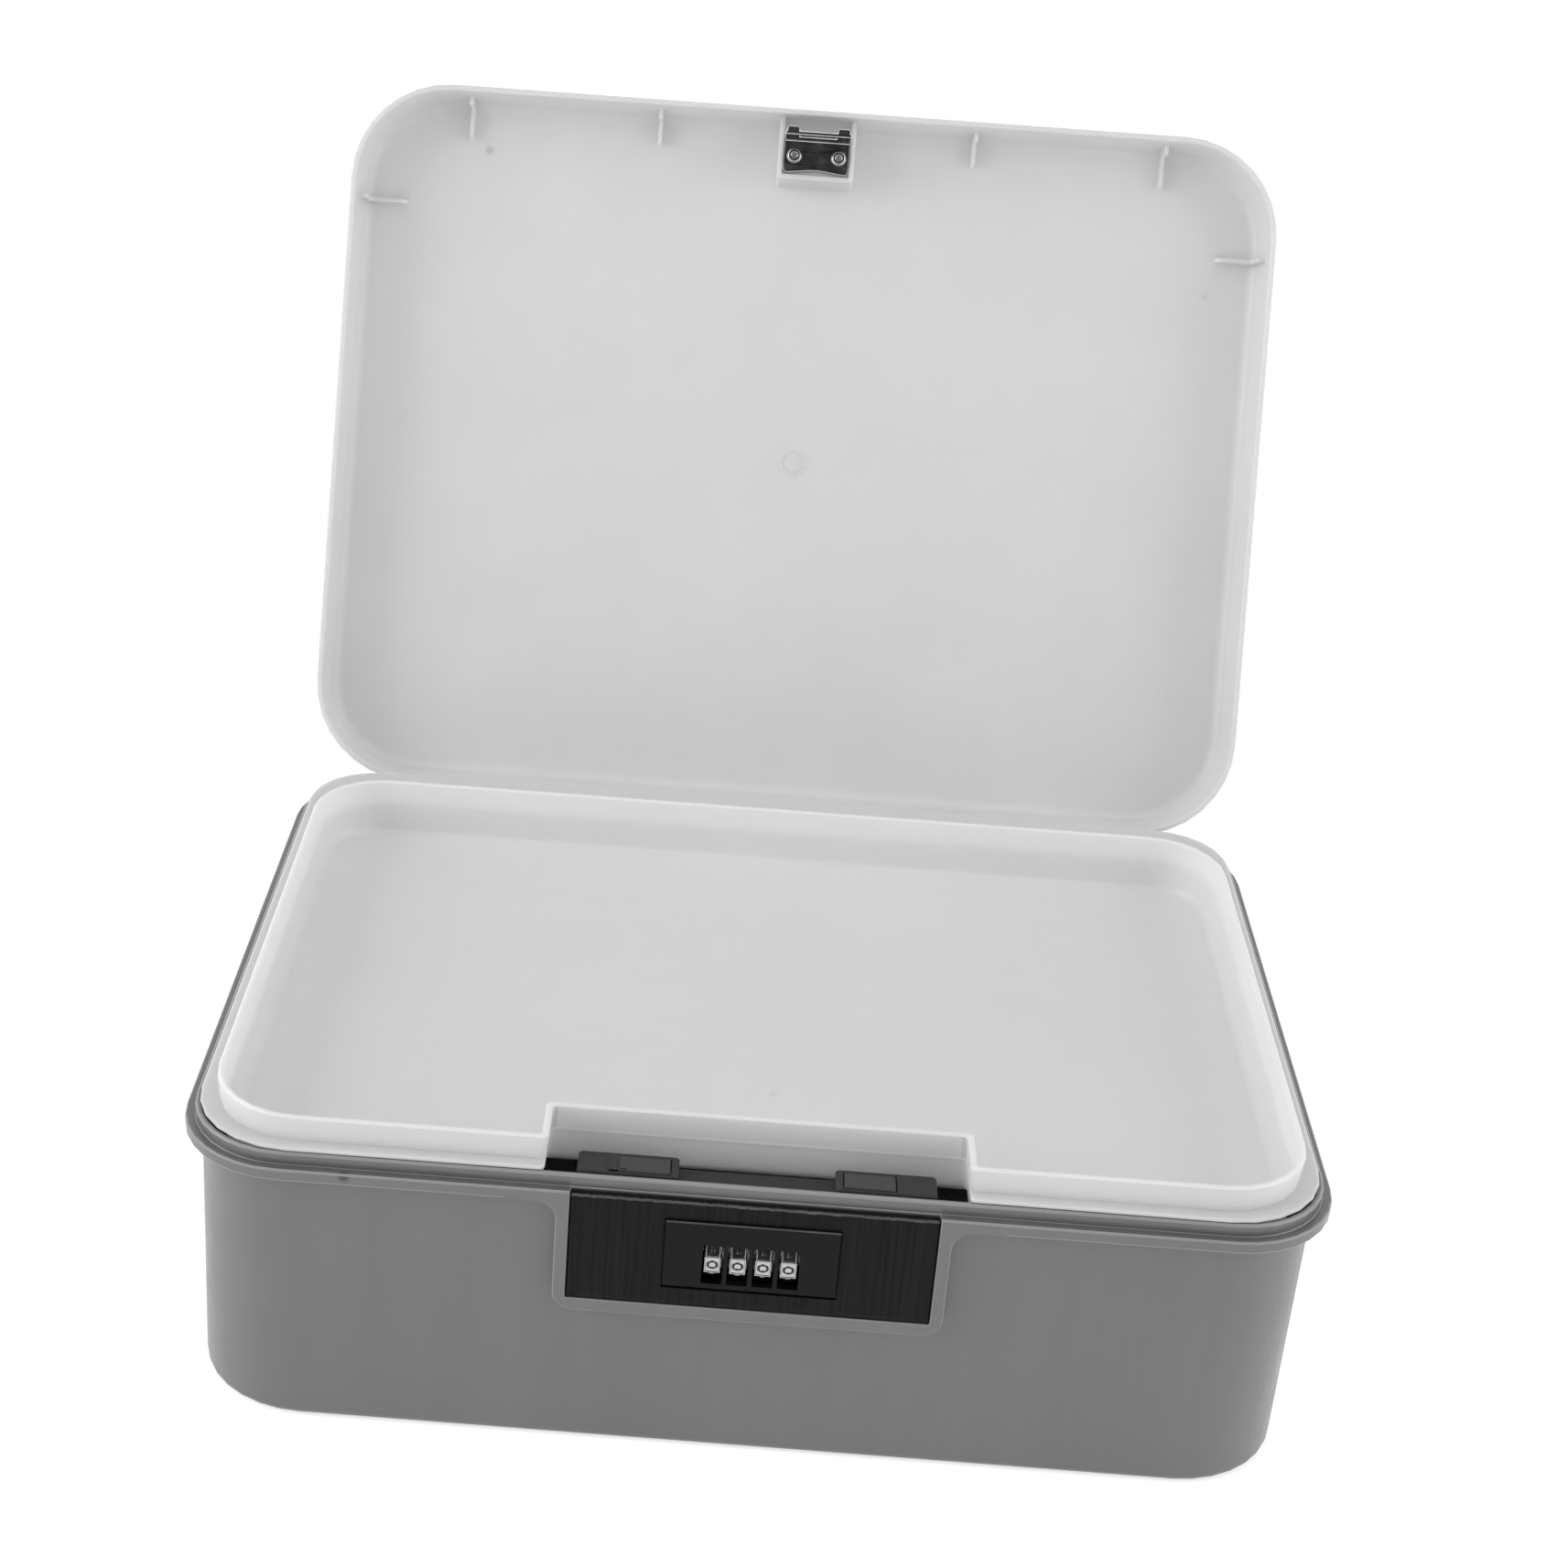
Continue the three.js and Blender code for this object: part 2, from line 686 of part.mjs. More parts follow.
// Lug of the lid between the case's knuckles.
function lidLug(side) {
  const middle = side * hingeSpread;
  const half = lugLength / 2;
  const skirtBack = boxDepth / 2 + lidOverhang;
  const barrel = rodAlongX(knuckleRadius, middle - half, middle + half, hingeY, hingeZ, knuckleSides);
  const web = blockSolid(
    [middle - half, skirtBack - lidWall, hingeZ],
    [middle + half, hingeY + knuckleRadius / 2, ledgeHeight + knuckleRadius],
  );
  return barrel.add(web);
}

// Notches in the skirt over the case's knuckles.
function knuckleNotches(side) {
  const inner = lugLength / 2;
  const outer = inner + knuckleLength + gap * 2;
  const skirtBack = boxDepth / 2 + lidOverhang;
  const top = hingeZ + knuckleRadius + gap * 2;
  return [-1, 1].map((end) => blockSolid(
    [side * hingeSpread + Math.min(end * inner, end * outer), skirtBack - lidWall - overrun, lipZ - overrun],
    [side * hingeSpread + Math.max(end * inner, end * outer), skirtBack + overrun, top],
  ));
}

function lidShell() {
  const boss = strikeBoss();
  const ribs = [
    frontRib(-ribLongOut, ribReachOuter),
    frontRib(ribLongOut, ribReachOuter),
    frontRib(-ribLongIn, ribReachInner),
    frontRib(ribLongIn, ribReachInner),
    sideRib(-1),
    sideRib(1),
  ];
  const notched = cut(lidMoulding(), [...knuckleNotches(-1), ...knuckleNotches(1)]);
  const whole = join([notched, ...ribs, boss.box, ...gateMark(), lidLug(-1), lidLug(1)]);
  return cut(whole, [...boss.cuts, pinBore(-1, 0), pinBore(1, 0)]);
}

// Steel strike: a screwed base, and a flange with a window and two tabs at its end.
function strikePlate() {
  const half = strikeHalfWidth;
  const rear = flangeFront + strikeBaseLength + strikeThickness;
  const baseShape = outline([
    [-half, flangeFront, 0],
    [half, flangeFront, 0],
    [half, rear, strikeCorner],
    [0, rear - strikeHollow, half],
    [-half, rear, strikeCorner],
  ], edgeSteps);
  const rings = [strikeBaseBottom, strikeBaseTop].map((z) => ({ points: baseShape, z }));
  const base = solid(loft(rings));
  const flange = blockSolid([-half, flangeFront, strikeBottom], [half, flangeBack, strikeBaseTop]);
  const windowFoot = strikeBottom + strikeBar;
  const window = blockSolid(
    [-strikeWindowWidth / 2, flangeFront - overrun, windowFoot],
    [strikeWindowWidth / 2, flangeBack + overrun, windowFoot + strikeWindowHeight],
  );
  const tabs = [-1, 1].map((side) => {
    const outer = half - strikeTabInset;
    const inner = outer - strikeTabWidth;
    const points = outline([
      [Math.min(side * inner, side * outer), flangeFront - strikeTabReach, strikeTabReach / 2],
      [Math.max(side * inner, side * outer), flangeFront - strikeTabReach, strikeTabReach / 2],
      [Math.max(side * inner, side * outer), flangeBack, 0],
      [Math.min(side * inner, side * outer), flangeBack, 0],
    ], edgeSteps);
    return solid(loft([strikeBottom, strikeBottom + strikeThickness].map((z) => ({ points, z }))));
  });
  const holes = [-1, 1].map((side) => rodAlongZ(
    strikeScrewRadius + gap,
    strikeBaseBottom - overrun,
    strikeBaseTop + overrun,
    side * strikeScrewSpread,
    flangeBack + strikeScrewBack,
    screwSides,
  ));
  return cut(join([base, flange, ...tabs]), [window, ...holes]);
}

// Pan-head screw with a socket. Its head's seat is at zero and its shank runs up.
function screw(radius, length) {
  const profile = [
    [0, length],
    [radius, length],
    [radius, 0],
    [screwHeadRadius, 0],
    [screwHeadRadius, -screwHeadHeight + screwHeadEdge],
    [screwHeadRadius - screwHeadEdge, -screwHeadHeight],
    [screwSocketRadius, -screwHeadHeight],
    [screwSocketRadius, -screwHeadHeight + screwSocketDepth],
    [0, -screwHeadHeight + screwSocketDepth],
  ].map(([x, y]) => new THREE.Vector2(x, y));
  return new THREE.LatheGeometry(profile.reverse(), screwSides).rotateX(Math.PI / 2);
}

function strikeScrew(side) {
  const geometry = screw(strikeScrewRadius, strikeScrewLength);
  const y = flangeBack + strikeScrewBack;
  return solid(geometry.translate(side * strikeScrewSpread, y, strikeBaseBottom - gap));
}

// Outline of the tray with its front notch, grown outwards or inwards.
function trayPoints(grow, halfX, front, rear, notchGrow) {
  const left = -halfX - grow;
  const right = halfX + grow;
  const low = -front - grow;
  const high = rear + grow;
  const notch = notchHalfWidth - notchGrow;
  const back = -notchFace - notchGrow;
  const frontRadius = trayFrontRadius + grow;
  const rearRadius = trayRearRadius + grow;
  const front4 = outline([
    [left, low, frontRadius],
    [-notch, low, notchRound],
    [-notch, back, notchRound],
    [notch, back, notchRound],
    [notch, low, notchRound],
    [right, low, frontRadius],
    [right, high, rearRadius],
    [left, high, rearRadius],
  ], cornerSteps / 2 + 2);
  return front4;
}

function trayRing(grow, z) {
  return { points: trayPoints(grow, trayHalfWidth, trayFront, trayRear, grow), z };
}

function trayBasin() {
  const rim = ledgeHeight + trayRim;
  const floor = ledgeHeight - trayFloor;
  const under = floor - trayWall;
  const rings = [];
  const foot = { inset: trayDraft, z: under + trayBottomRound };
  quarter(foot, { inset: trayDraft + trayBottomRound, z: under }, edgeSteps)
    .reverse()
    .forEach(({ inset, z }) => rings.push(trayRing(-inset, z)));
  rings.push(trayRing(0, rim - trayRimRound));
  rings.push(trayRing(-trayRimRound, rim));
  rings.push(trayRing(-trayWall + trayRimRound, rim));
  rings.push(trayRing(-trayWall, rim - trayRimRound));
  const inner = { inset: trayDraft + trayWall, z: floor + trayBottomRound };
  quarter(inner, { inset: inner.inset + trayBottomRound, z: floor }, edgeSteps)
    .forEach(({ inset, z }) => rings.push(trayRing(-inset, z)));
  return solid(loft(rings));
}

// Flange that hangs the tray on the rim.
function trayFlange() {
  const low = ledgeHeight + rimHeight + gap;
  const high = low + flangeThickness;
  const halfX = boxWidth / 2 - flangeInset;
  const halfY = boxDepth / 2 - flangeInset;
  const wallInset = trayDraft * (trayRim - rimHeight - gap) / (trayRim + trayFloor);
  const ring = (inset, z) => ({ points: trayPoints(-inset, halfX, halfY, halfY, notchStep - wallInset), z });
  const plate = solid(loft([ring(0, low), ring(0, high - flangeEdge), ring(flangeEdge, high)]));
  const insidePoints = trayPoints(-trayWall / 2, trayHalfWidth, trayFront, trayRear, -trayWall / 2);
  const inside = solid(loft([
    { points: insidePoints, z: low - overrun },
    { points: insidePoints, z: high + overrun },
  ]));
  return plate.subtract(inside);
}

function innerTray() {
  return join([trayBasin(), trayFlange()]);
}

function lockFacePlate() {
  const half = plateHalf;
  const plate = softBlock([-half, plateFoot, 0], [half, plateTop, plateThickness], plateEdge, plateEdge, 0);
  const holeHalf = panelWidth / 2 + gap;
  const hole = blockSolid(
    [-holeHalf, frontFace - overrun, panelFoot - gap],
    [holeHalf, plateBack + overrun, panelTop + gap],
  );
  const postRoot = plateBack - plateThickness / 2;
  const heights = [plateTop - seatWidth - platePostInset, plateFoot + seatWidth + platePostInset];
  const posts = [-platePostSpread, platePostSpread].flatMap((x) => (
    heights.map((z) => rodAlongY(platePostRadius, postRoot, seatBack, x, z, screwSides))
  ));
  return cut(join([solid(facingFront(plate, plateBack)), ...posts]), [hole]);
}

function wheelX(index) {
  return (index - (wheelCount - 1) / 2) * wheelPitch;
}

// Window of the button, wider at the back so that the wheel clears it when the button is in.
function buttonWindow(index) {
  const slope = windowFlare / panelFace;
  const frontHalf = windowHeight / 2 - slope * overrun;
  const backHalf = windowHeight / 2 + slope * (panelFace + overrun);
  const front = panelFront - overrun;
  const back = panelFront + panelFace + overrun;
  const points = [
    new THREE.Vector2(front, wheelZ - frontHalf),
    new THREE.Vector2(back, wheelZ - backHalf),
    new THREE.Vector2(back, wheelZ + backHalf),
    new THREE.Vector2(front, wheelZ + frontHalf),
  ];
  const flared = sidePrism(points, wheelX(index), windowWidth);
  const faceHalf = windowWidth / 2;
  const mouth = blockSolid(
    [wheelX(index) - faceHalf, panelFront - overrun, wheelZ - windowHeight / 2],
    [wheelX(index) + faceHalf, panelFront + panelFace / 2, wheelZ + windowHeight / 2],
  );
  return flared.add(mouth);
}

function releaseButton() {
  const half = panelWidth / 2;
  const skirtBack = panelFront + panelSkirt;
  const face = softBlock([-half, panelFoot, 0], [half, panelTop, panelSkirt], panelEdge, panelEdge, 0);
  const hollow = blockSolid(
    [-half + panelWall, panelFront + panelFace, panelFoot + panelFootWall],
    [half - panelWall, skirtBack + overrun, panelTop - panelWall],
  );
  const head = cut(solid(facingFront(face, skirtBack)), [hollow]);
  const roofLow = [-half, panelFront + panelFace, panelTop - panelWall];
  const roof = blockSolid(roofLow, [half, buttonBack, panelTop]);
  const sides = [-1, 1].flatMap((side) => {
    const inner = half - panelWall;
    const wall = [
      [Math.min(side * inner, side * half), panelFront + panelFace, panelFoot],
      [Math.max(side * inner, side * half), buttonBack, panelTop],
    ];
    const outer = half + buttonFlangeWidth;
    const flange = [
      [Math.min(side * inner, side * outer), buttonBack - buttonFlangeThickness, panelFoot],
      [Math.max(side * inner, side * outer), buttonBack, panelTop],
    ];
    return [blockSolid(...wall), blockSolid(...flange)];
  });
  const armTop = panelTop - armDrop;
  const arms = [-1, 1].map((side) => blockSolid(
    [side * armSpread - armWidth / 2, buttonBack - panelWall, armTop - armHeight],
    [side * armSpread + armWidth / 2, buttonBack + armLength, armTop],
  ));
  const tabRoom = blockSolid(
    [-slotHalfWidth - gap, seatFace, strikeBottom - gap * 2],
    [slotHalfWidth + gap, buttonBack + overrun, panelTop + overrun],
  );
  const windows = Array.from({ length: wheelCount }, (_, index) => buttonWindow(index));
  return cut(join([head, roof, ...sides, ...arms]), [tabRoom, ...windows]);
}

// Faceted wheel with chamfered edges and a round bore.
function numberWheel(index) {
  const x = wheelX(index);
  const half = wheelWidth / 2;
  const profile = [
    [wheelRadius - wheelEdge, -half],
    [wheelRadius, -half + wheelEdge],
    [wheelRadius, half - wheelEdge],
    [wheelRadius - wheelEdge, half],
  ].map(([radius, y]) => new THREE.Vector2(radius, y));
  const closed = [new THREE.Vector2(0, -half), ...profile, new THREE.Vector2(0, half)];
  const rim = new THREE.LatheGeometry(closed, wheelFacets);
  rim.rotateZ(-Math.PI / 2).translate(x, wheelY, wheelZ);
  const bore = rodAlongX(wheelBore, x - half - overrun, x + half + overrun, wheelY, wheelZ, roundSides);
  return solid(rim).subtract(bore);
}

// Hub inside a wheel, with a gated flange beside the wheel.
function wheelHub(index) {
  const x = wheelX(index);
  const flangeFrom = x + (wheelPitch - hubFlangeWidth) / 2;
  const flangeTo = flangeFrom + hubFlangeWidth;
  const barrel = rodAlongX(hubRadius, x - wheelWidth / 2, flangeTo, wheelY, wheelZ, roundSides);
  const disc = rodAlongX(hubFlangeRadius, flangeFrom, flangeTo, wheelY, wheelZ, roundSides);
  const bore = rodAlongX(shaftRadius + gap, x - wheelWidth, flangeTo + overrun, wheelY, wheelZ, roundSides);
  const gateFoot = wheelZ + hubFlangeRadius - hubGateDepth;
  const gate = blockSolid(
    [flangeFrom - overrun, wheelY - hubGateWidth / 2, gateFoot],
    [flangeTo + overrun, wheelY + hubGateWidth / 2, gateFoot + overrun],
  );
  const barrelEnd = blockSolid(
    [x, wheelY - hubGateWidth / 2, gateFoot],
    [flangeFrom, wheelY + hubGateWidth / 2, wheelZ + hubRadius],
  );
  return cut(join([barrel, disc]), [bore, gate.subtract(barrelEnd)]);
}

function wheelShaft() {
  const past = cheekThickness + shaftEnd;
  return rodAlongX(shaftRadius, cheekX(-1) - past, cheekX(1) + past, wheelY, wheelZ, roundSides);
}

// Pocket of a tower's inset, with an undercut for its foot. Its outer end leaves room to slide.
function insetPocket(side, room) {
  const inner = insetInner - gap;
  const outer = insetInner + insetLength + room + gap;
  const low = insetTop - insetHeight - gap;
  const left = Math.min(side * inner, side * outer);
  const right = Math.max(side * inner, side * outer);
  const mouth = insetHalfDepth + gap;
  const undercut = mouth + insetFoot;
  return [
    blockSolid([left, insetY - mouth, low], [right, insetY + mouth, towerTop + overrun]),
    blockSolid([left, insetY, low], [right, insetY + undercut, low + insetFootHeight + gap * 2]),
  ];
}

function towerInset(side) {
  const inner = insetInner;
  const outer = insetInner + insetLength;
  const left = Math.min(side * inner, side * outer);
  const right = Math.max(side * inner, side * outer);
  const low = insetTop - insetHeight;
  const foot = insetHalfDepth + insetFoot;
  const bodyLow = [left, insetY - insetHalfDepth, low];
  const bodyHigh = [right, insetY + insetHalfDepth, insetTop];
  return join([
    solid(softBlock(bodyLow, bodyHigh, insetEdge, insetEdge, 0)),
    blockSolid([left, insetY, low], [right, insetY + foot, low + insetFootHeight]),
  ]);
}

function codeSetSlider() {
  const x = -(insetInner + insetLength - nubRadius - gap);
  const y = insetY - insetHalfDepth + nubRadius + gap;
  const nub = rodAlongZ(nubRadius, insetTop - insetHeight / 2, insetTop + nubHeight, x, y, screwSides);
  return join([towerInset(-1), nub]);
}

function towerCap() {
  return towerInset(1);
}

function housingTower(side) {
  const left = Math.min(side * towerInner, side * towerOuter);
  const right = Math.max(side * towerInner, side * towerOuter);
  const low = [left, housingFront, ledgeHeight - deckHeight / 2];
  return solid(softBlock(low, [right, deckRear, towerTop], towerCorner, towerEdge, 0));
}

// Inner face of the cheek at either end of the row of wheels.
function cheekX(side) {
  if (side < 0) {
    return wheelX(0) - wheelWidth / 2 - gap;
  }
  return wheelX(wheelCount - 1) + wheelPitch / 2 + hubFlangeWidth / 2 + gap;
}

// Uprights inside the housing that carry the shaft and seat the button's springs.
function housingCheek(side) {
  const inner = cheekX(side);
  const outer = inner + side * cheekThickness;
  const cheek = blockSolid(
    [Math.min(inner, outer), cavityFront, housingFoot + housingWall / 2],
    [Math.max(inner, outer), housingRear - gap, cavityTop + housingWall / 2],
  );
  const seatEnd = side * (springX + springRadius);
  const seat = blockSolid(
    [Math.min(inner, seatEnd), springBack + gap, springZ - springSeatHeight / 2],
    [Math.max(inner, seatEnd), springBack + gap + springSeatThickness, springZ + springSeatHeight / 2],
  );
  return cheek.add(seat);
}

function screwPlaces() {
  return [-1, 1].flatMap((side) => [postHigh, postLow].map((z) => [side * postX, z]));
}

function housingPosts() {
  const half = postSize / 2 + housingWall / 2;
  return screwPlaces().map(([x, z]) => blockSolid(
    [x - half, cavityFront - housingWall / 2, z - half],
    [x + half, housingRear, z + half],
  ));
}

function lockCase() {
  const width = housingHalfWidth;
  const deckFoot = ledgeHeight - deckHeight;
  const lower = blockSolid([-width, housingFront, housingFoot], [width, housingRear, deckFoot]);
  const deck = blockSolid([-width, housingFront, deckFoot - housingWall / 2], [width, deckRear, ledgeHeight]);
  const cavity = blockSolid(
    [-width + housingWall, cavityFront, housingFoot + housingWall],
    [width - housingWall, housingRear + overrun, cavityTop],
  );
  const hollow = cut(join([lower, deck]), [cavity]);
  const whole = join([
    hollow,
    housingTower(-1),
    housingTower(1),
    housingCheek(-1),
    housingCheek(1),
    ...housingPosts(),
  ]);
  const bayHalf = panelWidth / 2 + buttonFlangeWidth + buttonBay;
  const bay = blockSolid(
    [-bayHalf, housingFront - overrun, panelFoot - buttonBay],
    [bayHalf, cavityFront, panelTop + buttonBay],
  );
  const slot = blockSolid(
    [-slotHalfWidth, housingFront - overrun, ledgeHeight - slotDrop],
    [slotHalfWidth, housingFront + slotDepth, ledgeHeight + overrun],
  );
  const channel = blockSolid(
    [-channelHalfWidth, cavityFront, cavityTop - overrun],
    [channelHalfWidth, deckRear - housingWall, noseTop + gap],
  );
  const past = cheekThickness + overrun;
  const shaftEnds = [cheekX(-1) - past, cheekX(1) + past];
  const shaftHoles = rodAlongX(shaftRadius + gap, ...shaftEnds, wheelY, wheelZ, roundSides);
  const screwHoles = screwPlaces().map(([x, z]) => rodAlongY(
    caseScrewRadius + gap,
    housingRear - postHoleDepth,
    housingRear + overrun,
    x,
    z,
    screwSides,
  ));
  const pockets = [...insetPocket(-1, sliderTravel), ...insetPocket(1, 0)];
  return cut(whole, [bay, slot, channel, shaftHoles, ...screwHoles, ...pockets]);
}

function lockCaseCover() {
  const half = housingHalfWidth - gap;
  const low = housingFoot + gap;
  const high = ledgeHeight - deckHeight - gap;
  const plate = softBlock([-half, low, 0], [half, high, coverThickness], coverCorner, 0, panelEdge);
  const holes = screwPlaces().map(([x, z]) => rodAlongY(
    caseScrewRadius + gap,
    coverFront - overrun,
    coverRear + overrun,
    x,
    z,
    screwSides,
  ));
  return cut(solid(facingFront(plate, coverRear)), holes);
}

function caseScrew(index) {
  const [x, z] = screwPlaces()[index];
  const geometry = screw(caseScrewRadius, caseScrewLength).rotateX(Math.PI / 2);
  return solid(geometry.translate(x, coverRear + gap, z));
}

// Bolt: a bevelled nose for the strike's window on a leg that the button's arms push.
function latchBolt() {
  const noseFoot = noseTop - noseHeight;
  const side = [
    new THREE.Vector2(noseTip + noseRamp, noseTop),
    new THREE.Vector2(noseTip, noseFoot + noseTipHeight),
    new THREE.Vector2(noseTip, noseFoot),
    new THREE.Vector2(legBack, noseFoot),
    new THREE.Vector2(legBack, noseTop),
  ];
  const nose = sidePrism(side, 0, noseHalfWidth * 2);
  const leg = blockSolid([-legHalfWidth, legFront, legFoot], [legHalfWidth, legBack, noseTop]);
  return nose.add(leg);
}

// Comb that hangs beside the wheels, one finger to each hub's flange.
function fenceBar() {
  const flangeX = (index) => wheelX(index) + wheelPitch / 2;
  const back = fenceFront + fenceThickness;
  const bar = blockSolid(
    [flangeX(0) - fenceEnd, fenceFront, legFoot],
    [flangeX(wheelCount - 1) + fenceEnd, back, legFoot + fenceHeight],
  );
  const fingers = Array.from({ length: wheelCount }, (_, index) => blockSolid(
    [flangeX(index) - fingerWidth / 2, fenceFront, ledgeHeight - fingerDrop],
    [flangeX(index) + fingerWidth / 2, back, legFoot + fenceHeight / 2],
  ));
  return join([bar, ...fingers]);
}

// Helical compression spring along y.
class SpringCurve extends THREE.Curve {
  getPoint(share, target = new THREE.Vector3()) {
    const turn = share * springTurns * Math.PI * 2;
    const radius = springRadius - springWire / 2;
    const run = springLength - springWire;
    return target.set(Math.cos(turn) * radius, springWire / 2 + run * share, Math.sin(turn) * radius);
  }
}

function buttonSpring(side) {
  const sectionPoints = Array.from({ length: springSides }, (_, index) => {
    const turn = (index / springSides) * Math.PI * 2;
    return new THREE.Vector2(Math.cos(turn), Math.sin(turn)).multiplyScalar(springWire / 2);
  });
  const geometry = new THREE.ExtrudeGeometry(new THREE.Shape(sectionPoints), {
    steps: springTurns * springStepsPerTurn,
    extrudePath: new SpringCurve(),
    bevelEnabled: false,
  });
  return solid(geometry.translate(side * springX, springFront, springZ));
}

// Leaf comb: a strip on the housing's floor with a sloping leaf under each wheel.
function detentSpring() {
  const low = housingFoot + housingWall + gap;
  const tipZ = wheelZ - wheelRadius - leafClearance;
  const rootY = wheelY + leafRun;
  const strip = blockSolid(
    [wheelX(0) - leafWidth / 2, rootY, low],
    [wheelX(wheelCount - 1) + leafWidth / 2, rootY + leafStrip, low + leafThickness],
  );
  const leafSide = [
    new THREE.Vector2(wheelY, tipZ - leafThickness),
    new THREE.Vector2(rootY + leafStrip / 2, low),
    new THREE.Vector2(rootY + leafStrip / 2, low + leafThickness),
    new THREE.Vector2(wheelY, tipZ),
  ];
  const places = Array.from({ length: wheelCount }, (_, index) => wheelX(index));
  const leaves = places.map((x) => sidePrism(leafSide, x, leafWidth));
  return join([strip, ...leaves]);
}

function named(name, whole, finish) {
  const material = new THREE.MeshStandardMaterial({ ...finishes[finish], flatShading: true });
  const mesh = new THREE.Mesh(geometryOf(whole), material);
  mesh.name = name;
  return mesh;
}

function lidAssembly() {
  const lid = new THREE.Group();
  lid.add(
    named('lid_shell', lidShell(), 'pale'),
    named('strike_plate', strikePlate(), 'chrome'),
    named('strike_screw_left', strikeScrew(-1), 'steel'),
    named('strike_screw_right', strikeScrew(1), 'steel'),
  );
  lid.children.forEach((mesh) => mesh.position.set(0, -hingeY, -hingeZ));
  lid.position.set(0, hingeY, hingeZ);
  lid.rotation.x = -THREE.MathUtils.degToRad(openAngle);
  return lid;
}

function lockAssembly() {
  const lock = new THREE.Group();
  lock.add(
    named('lock_face_plate', lockFacePlate(), 'black'),
    named('release_button', releaseButton(), 'black'),
    named('lock_case', lockCase(), 'charcoal'),
    named('lock_case_cover', lockCaseCover(), 'charcoal'),
    named('wheel_shaft', wheelShaft(), 'steel'),
    named('latch_bolt', latchBolt(), 'steel'),
    named('fence_bar', fenceBar(), 'steel'),
    named('detent_spring', detentSpring(), 'steel'),
    named('button_spring_left', buttonSpring(-1), 'steel'),
    named('button_spring_right', buttonSpring(1), 'steel'),
    named('code_set_slider', codeSetSlider(), 'charcoal'),
    named('tower_cap', towerCap(), 'charcoal'),
  );
  for (let index = 0; index < wheelCount; index += 1) {
    lock.add(named(`number_wheel_${index + 1}`, numberWheel(index), 'chrome'));
    lock.add(named(`wheel_hub_${index + 1}`, wheelHub(index), 'steel'));
  }
  screwPlaces().forEach((_, index) => {
    lock.add(named(`case_screw_${index + 1}`, caseScrew(index), 'steel'));
  });
  return lock;
}

const lockBox = new THREE.Group();
lockBox.add(
  named('body_shell', bodyShell(), 'grey'),
  named('inner_tray', innerTray(), 'white'),
  named('hinge_pin_left', hingePin(-1), 'steel'),
  named('hinge_pin_right', hingePin(1), 'steel'),
  lidAssembly(),
  lockAssembly(),
);

export default lockBox;
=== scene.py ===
import math

import bmesh
import bpy
from mathutils import Matrix, Vector, noise


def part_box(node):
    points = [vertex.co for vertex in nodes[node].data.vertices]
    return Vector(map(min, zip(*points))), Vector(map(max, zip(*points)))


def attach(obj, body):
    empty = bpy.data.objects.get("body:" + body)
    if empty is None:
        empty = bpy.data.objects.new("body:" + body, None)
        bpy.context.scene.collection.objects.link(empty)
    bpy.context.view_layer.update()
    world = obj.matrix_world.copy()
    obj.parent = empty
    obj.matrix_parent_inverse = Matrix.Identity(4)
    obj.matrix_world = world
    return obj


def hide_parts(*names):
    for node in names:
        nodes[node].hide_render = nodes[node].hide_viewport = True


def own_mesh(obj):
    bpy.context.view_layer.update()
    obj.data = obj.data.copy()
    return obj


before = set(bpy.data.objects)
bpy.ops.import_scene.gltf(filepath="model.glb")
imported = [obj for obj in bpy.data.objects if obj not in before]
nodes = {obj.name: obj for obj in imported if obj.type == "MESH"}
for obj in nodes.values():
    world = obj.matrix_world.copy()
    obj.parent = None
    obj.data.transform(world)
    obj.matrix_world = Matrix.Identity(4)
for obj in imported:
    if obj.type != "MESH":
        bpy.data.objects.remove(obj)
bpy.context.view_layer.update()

# Lengths are in millimetres and angles in degrees, unless a comment says otherwise
MM = 0.001

# Height above the floor of the body's ledge, on which the lid shuts
LEDGE = 88.0

# Camera, fitted to the photograph: pixels, radians, and millimetres from the middle of the ledge
IMAGE = 1713
FOCAL = 3011.5
CENTRE = (750.3, 765.3)
YAW, PITCH, ROLL = 0.0128, 0.4226, 0.0687
EYE = (-20.52, -765.30, 440.40)
SENSOR = 36

# Small dark specks in the plastic: place, radius and strength. Those of the lid are for the shut lid.
BODY_SPECKS = (((-114.95, -124, LEDGE - 0.7), 2.1, 1.0), ((149.1, -119.6, LEDGE - 68.4), 0.8, 0.8))
TRAY_SPECKS = (((4.6, -56.7, LEDGE - 5.5), 1.8, 0.1),)
LID_SPECKS = (((-118.9, -105.7, LEDGE + 19), 2.2, 0.25), ((145.2, -71.0, LEDGE + 19), 1.8, 0.12))
SPECK_CORE = 0.3
SPECK_LEVEL = 0.08

# Light that goes a little way into the pale plastics, in metres
SOFT = {"Subsurface_Weight": 0.7, "Subsurface_Radius": (1.0, 1.0, 1.0), "Subsurface_Scale": 0.005}

# Rounded edges. On the first pieces each edge is rounded by the room it has, on the others all alike.
WEIGHED_PIECES = ("box_moulding", "lid_moulding", "strike")
SHARP_ANGLE = 32
SHARE_BY_ROUNDED = 0.42
SHARE_BY_PLAIN = 0.85
ROUNDING_STEP = 1.5
ROUNDING_PASSES = 6

# Lid: radians from shut to open, and an axis behind the middle of the box and below the ledge
OPEN = math.radians(112)
LID_AXIS = Vector((0, 126.2, LEDGE - 1.5))
TO_SHUT = Matrix.Rotation(OPEN, 3, "X")
TO_OPEN = TO_SHUT.inverted()

# Body: front wall, and how far the band beside the face plate is widened between two distances
FRONT = -124
BAND_STEPS = ((0.5, 44, 51), (0.4, 52, 54.5), (-0.9, 62, 80))

